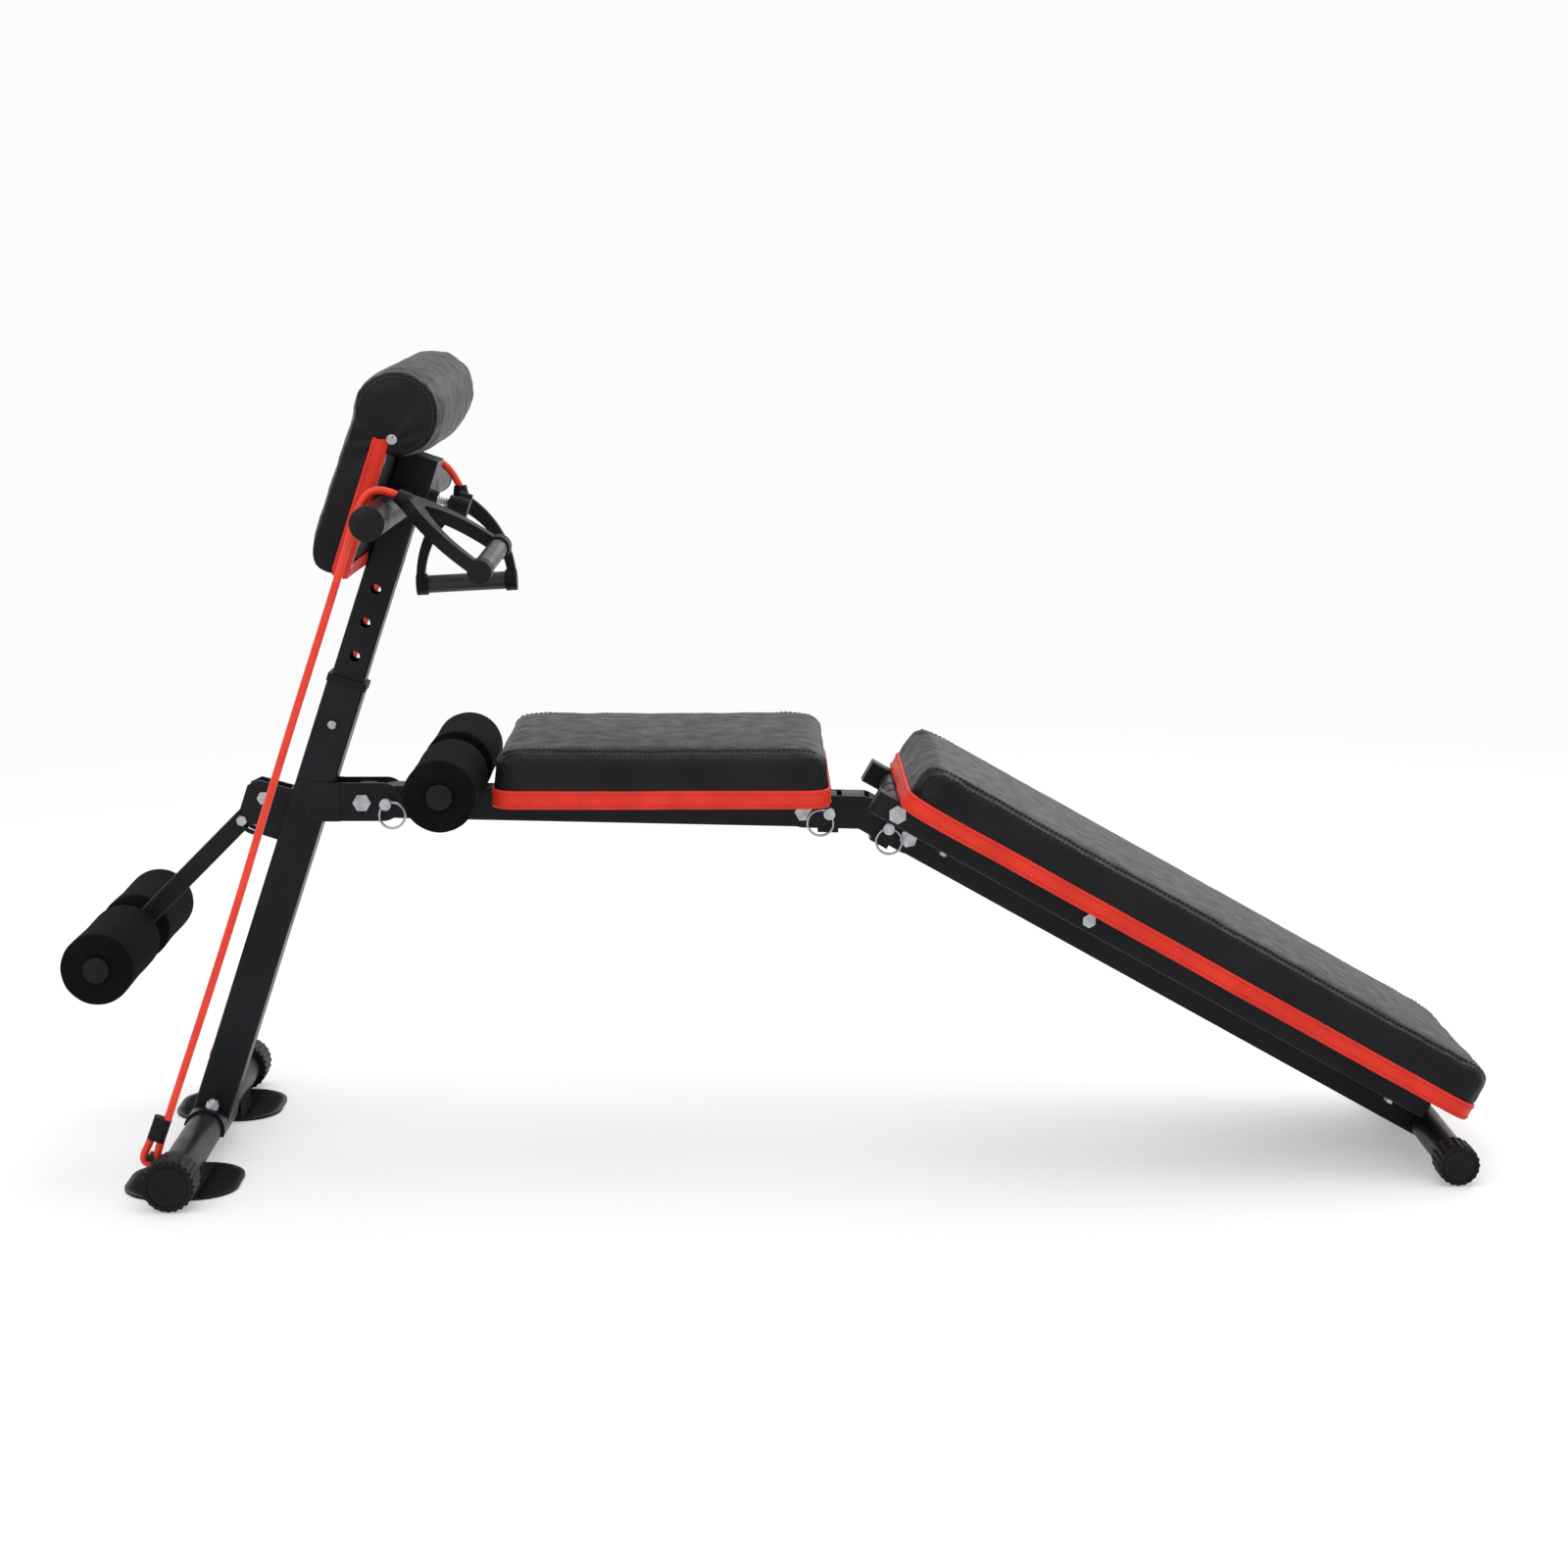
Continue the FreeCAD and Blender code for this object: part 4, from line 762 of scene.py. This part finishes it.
def leg_cushion():
    """Hooked leg pad: slab behind the post, roll over its top, gathered end panels."""
    obj = cushion_from("upper_pad", "leg_cushion", 0.0040)
    local = to_local(read(obj.data), POST)
    held = (local[:, 2] < 0.0355) & (local[:, 0] < 0.752)
    held |= np.abs(np.abs(local[:, 1]) - ROLL_HALF) < 0.0035
    inflate(obj, held, 4.5, 0.0040, -0.02)
    even_out(obj, 8)
    co = to_local(read(obj.data), POST)
    nrm = normals(obj.data) @ np.array(POST.to_3x3())
    ds, dw = co[:, 0] - ROLL_S, co[:, 2] - ROLL_BACK
    radius = np.hypot(ds, dw)
    angle = np.arctan2(dw, ds)
    end = np.clip((np.abs(co[:, 1]) - (ROLL_HALF - 0.006)) / 0.004, 0, 1)
    skin = 1 - end
    middle = 1 - (co[:, 1] / ROLL_HALF) ** 2
    on_roll = np.clip((co[:, 0] - 0.745) / 0.03, 0, 1)
    crown = 0.0015 * middle * skin * on_roll
    hoops = ridge(co, 30, 2.4, (1.0, 0.25, 1.0)) ** 4
    drapes = ridge(co, 22, 7.9, (0.5, 1.0, 0.5)) ** 4
    near_end = np.exp(-(ROLL_HALF - np.abs(co[:, 1])) / 0.03)
    creases = 0.0016 * hoops * np.clip(co[:, 1] / ROLL_HALF + 0.4, 0, 1)
    creases = creases + 0.0010 * drapes * near_end
    pucker = 0.0005 * np.sin(angle * 22 + 3 * drapes) * near_end * skin * on_roll
    inside = np.clip(1 - radius / (ROLL_R - 0.004), 0, 1)
    screw = np.hypot(co[:, 0] - LEG_SCREW[0], co[:, 2] - LEG_SCREW[1])
    spokes_angle = np.arctan2(co[:, 2] - LEG_SCREW[1], co[:, 0] - LEG_SCREW[0])
    spokes = np.sin(9 * spokes_angle + 2.5 * drapes) * np.exp(-screw / 0.040)
    spokes = spokes * (1 - np.exp(-(screw / 0.011) ** 4)) * np.clip(screw / 0.020, 0, 1)
    dish = -0.0030 * np.exp(-(screw / 0.014) ** 2)
    arc = (angle < math.pi / 2) & (angle > -math.radians(150))
    seam = -0.0016 * np.exp(-((radius - (ROLL_R - 0.0035)) / 0.0020) ** 2) * arc
    bulge = 0.0045 * np.clip(inside, 0, 0.35) / 0.35
    panel = end * (0.0028 * spokes + dish + seam + bulge)
    co = co + nrm * (crown + (creases - 0.0008) * skin + pucker + panel)[:, None]
    write(obj.data, to_world(settled(co), POST))
    finish_cushion(obj, "upper_pad", "head")

    outline = rounded_outline(*LEG_PAD_S, -ROLL_HALF, ROLL_HALF, 0.010, open_end=True)
    trim_strip("leg_pad_trim", POST, outline, *LEG_TRIM_Z, "head", closed=False, flap=0.016)
    staples("leg_pad_staples", POST, outline, 0.011, LEG_TRIM_Z[0] - STAPLE_DROP, "head", False)
    seam_r = ROLL_R - 0.0055
    for sign, tag in SIDES:
        points = []
        for i in range(81):
            a = math.radians(92 - 242 * i / 80)
            s = ROLL_S + seam_r * math.cos(a)
            w = ROLL_BACK + seam_r * math.sin(a)
            points.append(POST @ Vector(settled(np.array([[s, sign * ROLL_HALF, w]]))[0]))
        path, lift = surface_path(obj, points, Vector((0, sign, 0)), 0.02)
        stitches(f"leg_pad_end_stitches_{tag}", path, "head", BLACK_THREAD, lift=lift)


# ---------------------------------------------------------------- foam rollers

def foam_sleeve(node, name, body, center, sign):
    """Foam sleeve turned round its axle, slightly uneven, with a dent where legs press."""
    inner, outer, y0, y1, lip = 0.0113, 0.0372, 0.025, 0.172, 0.004
    quarter = [math.pi / 2 * i / 5 for i in range(6)]
    profile = [(inner, y0 + 0.001), (inner + 0.003, y0)]
    profile += [(outer - lip + lip * math.sin(a), y0 + lip - lip * math.cos(a)) for a in quarter]
    steps = 30
    profile += [(outer, y0 + lip + (y1 - y0 - 2 * lip) * i / steps) for i in range(1, steps)]
    profile += [(outer - lip + lip * math.cos(a), y1 - lip + lip * math.sin(a)) for a in quarter]
    profile += [(outer - 0.014, y1 - 0.0004), (inner + 0.003, y1), (inner, y1 - 0.001)]
    sides = 96
    verts, faces = [], []
    for r, y in profile:
        for k in range(sides):
            a = 2 * math.pi * k / sides
            rough = noise.noise(Vector((math.cos(a) * 2.2, math.sin(a) * 2.2, y * 26 + center.x * 9)))
            fine = noise.noise(Vector((math.cos(a) * 9, math.sin(a) * 9, y * 120)))
            weight = min(1.0, max(0.0, (r - inner - 0.004) / 0.01))
            shrink = 0.0016 * math.exp(-((abs(y) - 0.098) / 0.05) ** 2)
            rr = r + weight * (0.0003 * rough + 0.00012 * fine - shrink * 0.6)
            verts.append(center + Vector((rr * math.cos(a), sign * y, rr * math.sin(a))))
    rows = len(profile)
    for i in range(rows):
        a, b = i * sides, ((i + 1) % rows) * sides
        for k in range(sides):
            n = (k + 1) % sides
            quad = (a + k, a + n, b + n, b + k)
            faces.append(quad if sign < 0 else quad[::-1])
    obj = add(name, verts, faces, LOOKS["black_foam"], body)
    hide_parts(node)


def foams():
    for place, center in (("shin", SHIN_ROLLER), ("seat", SEAT_ROLLER)):
        for sign, side in SIDES:
            tag = f"{side}_{place}"
            foam_sleeve(f"{tag}_foam", f"{tag}_sleeve", f"{tag}_roller", center, sign)


# ---------------------------------------------------------------- bands

EYE = BASE + 0.0315 * direction(math.radians(146))
LOOP = [(0.038, 0.0043), (0.017, 0.0046), (-0.0074, 0.0077), (-0.0074, -0.0077), (0.017, -0.0046)]
RISE = [(-0.5605, 0.270), (-0.500, 0.455), (-0.4425, 0.622)]
NEAR_OVER_BAR = [(-0.032, -0.030), (-0.018, 0.015), (0.000, 0.029), (0.020, 0.019)]
FAR_OVER_BAR = [(-0.032, -0.030), (-0.018, 0.015), (0.000, 0.029), (0.025, 0.020), (0.036, -0.005)]


def band(name, node, sign, over_bar):
    """Elastic band: looped round its eye, up beside the post and over the handlebar to its handle."""
    along, up = direction(math.radians(70)), direction(math.radians(160))
    points = [EYE + along * a + up * b for a, b in LOOP]
    points += [Vector((x, 0, z)) for x, z in RISE]
    points += [BAR + Vector((x, 0, z)) for x, z in over_bar]
    for p in points:
        risen = min(1.0, max(0.0, (p.z - 0.100) / (BAR.z - 0.130)))
        p.y = sign * (BAND_FOOT_Y + risen * (BAND_TOP_Y - BAND_FOOT_Y))
    data = bpy.data.curves.new(name, "CURVE")
    data.dimensions = "3D"
    data.bevel_depth = BAND_R
    data.bevel_resolution = 6
    data.resolution_u = 24
    data.use_fill_caps = True
    spline = data.splines.new("NURBS")
    spline.points.add(len(points) - 1)
    for target, p in zip(spline.points, points):
        target.co = (p.x, p.y, p.z, 1.0)
    spline.order_u = 3
    spline.use_endpoint_u = True
    obj = bpy.data.objects.new(name, data)
    scene.collection.objects.link(obj)
    paint(obj, LOOKS["red_band"])
    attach(obj, "post")
    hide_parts(node)
    curve_length(obj)


def curve_length(obj):
    """Length of the curve's centreline, measured on a bare copy of it."""
    bare = bpy.data.objects.new("bare_line", obj.data.copy())
    scene.collection.objects.link(bare)
    bare.data.bevel_depth = 0.0
    bpy.context.view_layer.update()
    mesh = bpy.data.meshes.new_from_object(bare.evaluated_get(bpy.context.evaluated_depsgraph_get()))
    total = float(np.linalg.norm(np.diff(read(mesh), axis=0), axis=1).sum())
    line = bare.data
    bpy.data.objects.remove(bare)
    bpy.data.curves.remove(line)
    bpy.data.meshes.remove(mesh)
    return total


# ---------------------------------------------------------------- welds

def weld(name, path, body, radius=0.0022, closed=False):
    """Rippled weld bead along a path, under the same paint as the steel."""
    dense = []
    path = [Vector(p) for p in path]
    count = len(path) if closed else len(path) - 1
    for i in range(count):
        a, b = path[i], path[(i + 1) % len(path)]
        n = max(1, int((b - a).length / 0.0009))
        dense += [a.lerp(b, k / n) for k in range(n)]
    if not closed:
        dense.append(path[-1])
    radii = []
    for i, p in enumerate(dense):
        radii.append(radius * (0.82 + 0.16 * math.sin(i * 1.1) + 0.12 * noise.noise(p * 160)))
    verts, faces = tube_mesh(dense, radius, 8, closed, radii)
    return add(name, verts, faces, LOOKS["satin_black_steel"], body)


def round_weld(name, center, radius, y, body, bead):
    """Weld bead in a circle round a cross tube, at y from the middle."""
    ring = []
    for i in range(20):
        a = 2 * math.pi * i / 20
        ring.append(center + Vector((radius * math.cos(a), y, radius * math.sin(a))))
    weld(name, ring, body, bead, True)


def seat_clevis_welds(sign, tag):
    x = SEAT_PIVOT.x - 0.060
    y = sign * 0.0205
    low, high = SEAT_PIVOT.z - 0.0205, SEAT_PIVOT.z + 0.0205
    weld(f"seat_clevis_weld_{tag}", [(x, y, low), (x, y, high)], "post")
    weld(f"seat_clevis_top_weld_{tag}", [(x, y, high), (x + 0.022, y, high)], "post")


def arm_clevis_weld(sign, tag):
    y = sign * 0.0137
    start = POST @ Vector((0.321, y, 0.0203))
    end = POST @ Vector((0.376, y, 0.0203))
    weld(f"arm_clevis_weld_{tag}", [start, end], "post")


def bracket_welds(sign, tag):
    y = sign * 0.0176
    beam_top = 0.393
    for k, x in enumerate((-0.240, -0.020)):
        path = [(x - 0.013, y, beam_top - 0.0025), (x + 0.013, y, beam_top - 0.0028)]
        weld(f"bracket_weld_{tag}_{k}", path, "seat", 0.0016)


def rear_foot_weld(sign, tag):
    s = LEG_LENGTH - 0.0175
    y = sign * 0.0176
    weld(f"rear_foot_weld_{tag}", [LEG @ Vector((s, y, -0.014)), LEG @ Vector((s, y, 0.014))], "leg", 0.0022)


def welds():
    for sign, tag in SIDES:
        seat_clevis_welds(sign, tag)
        arm_clevis_weld(sign, tag)
        bracket_welds(sign, tag)
        rear_foot_weld(sign, tag)
        round_weld(f"pivot_tube_weld_{tag}", BACK_PIVOT, 0.0109, sign * 0.0209, "elbow_link", 0.0012)
        round_weld(f"shin_axle_weld_{tag}", SHIN_ROLLER, 0.0112, sign * 0.0102, "arm", 0.0015)
        round_weld(f"seat_axle_weld_{tag}", SEAT_ROLLER, 0.0112, sign * 0.0153, "seat", 0.0015)


# ---------------------------------------------------------------- stage

def area_light(name, place, target, size, power):
    data = bpy.data.lights.new(name, "AREA")
    data.shape = "RECTANGLE"
    data.size, data.size_y = size
    data.energy = power
    obj = bpy.data.objects.new(name, data)
    scene.collection.objects.link(obj)
    obj.location = place
    obj.rotation_euler = (Vector(target) - Vector(place)).to_track_quat("-Z", "Y").to_euler()


def studio():
    """Pale floor, white surroundings and four large soft lights."""
    mesh = bpy.data.meshes.new("floor")
    s, z = 14.0, -0.0005
    mesh.from_pydata([(-s, -s, z), (s, -s, z), (s, s, z), (-s, s, z)], [], [(0, 1, 2, 3)])
    floor = bpy.data.objects.new("floor", mesh)
    scene.collection.objects.link(floor)
    paint(floor, floor_look())
    world = bpy.data.worlds.new("studio")
    scene.world = world
    world.use_nodes = True
    background = world.node_tree.nodes["Background"]
    background.inputs["Color"].default_value = (1.0, 1.0, 1.0, 1.0)
    background.inputs["Strength"].default_value = 0.97
    area_light("key", (-1.6, -2.2, 3.0), (0.0, 0.0, 0.3), (2.4, 1.6), 26)
    area_light("top", (0.5, 0.2, 3.2), (0.1, 0.0, 0.3), (3.0, 2.2), 34)
    area_light("front", (0.8, -3.4, 1.2), (0.0, 0.0, 0.4), (2.6, 1.6), 5)
    area_light("rim", (1.8, 2.4, 2.2), (0.0, 0.0, 0.4), (2.0, 1.4), 24)
    scene.view_settings.view_transform = "Standard"


def camera():
    data = bpy.data.cameras.new("camera")
    data.sensor_fit = "HORIZONTAL"
    data.sensor_width = 36.0
    data.lens = 69.14
    data.clip_end = 60.0
    obj = bpy.data.objects.new("camera", data)
    scene.collection.objects.link(obj)
    obj.location = (-0.035, -3.164, 0.931)
    obj.rotation_euler = (math.radians(80.36), 0.0, math.radians(-0.65))
    scene.camera = obj


camera()
studio()
dress_cad()
band("near_band_line", "near_band", -1, NEAR_OVER_BAR)
band("far_band_line", "far_band", 1, FAR_OVER_BAR)
foams()
seat_cushion()
backrest_cushion()
leg_cushion()
welds()
tread_ribs()
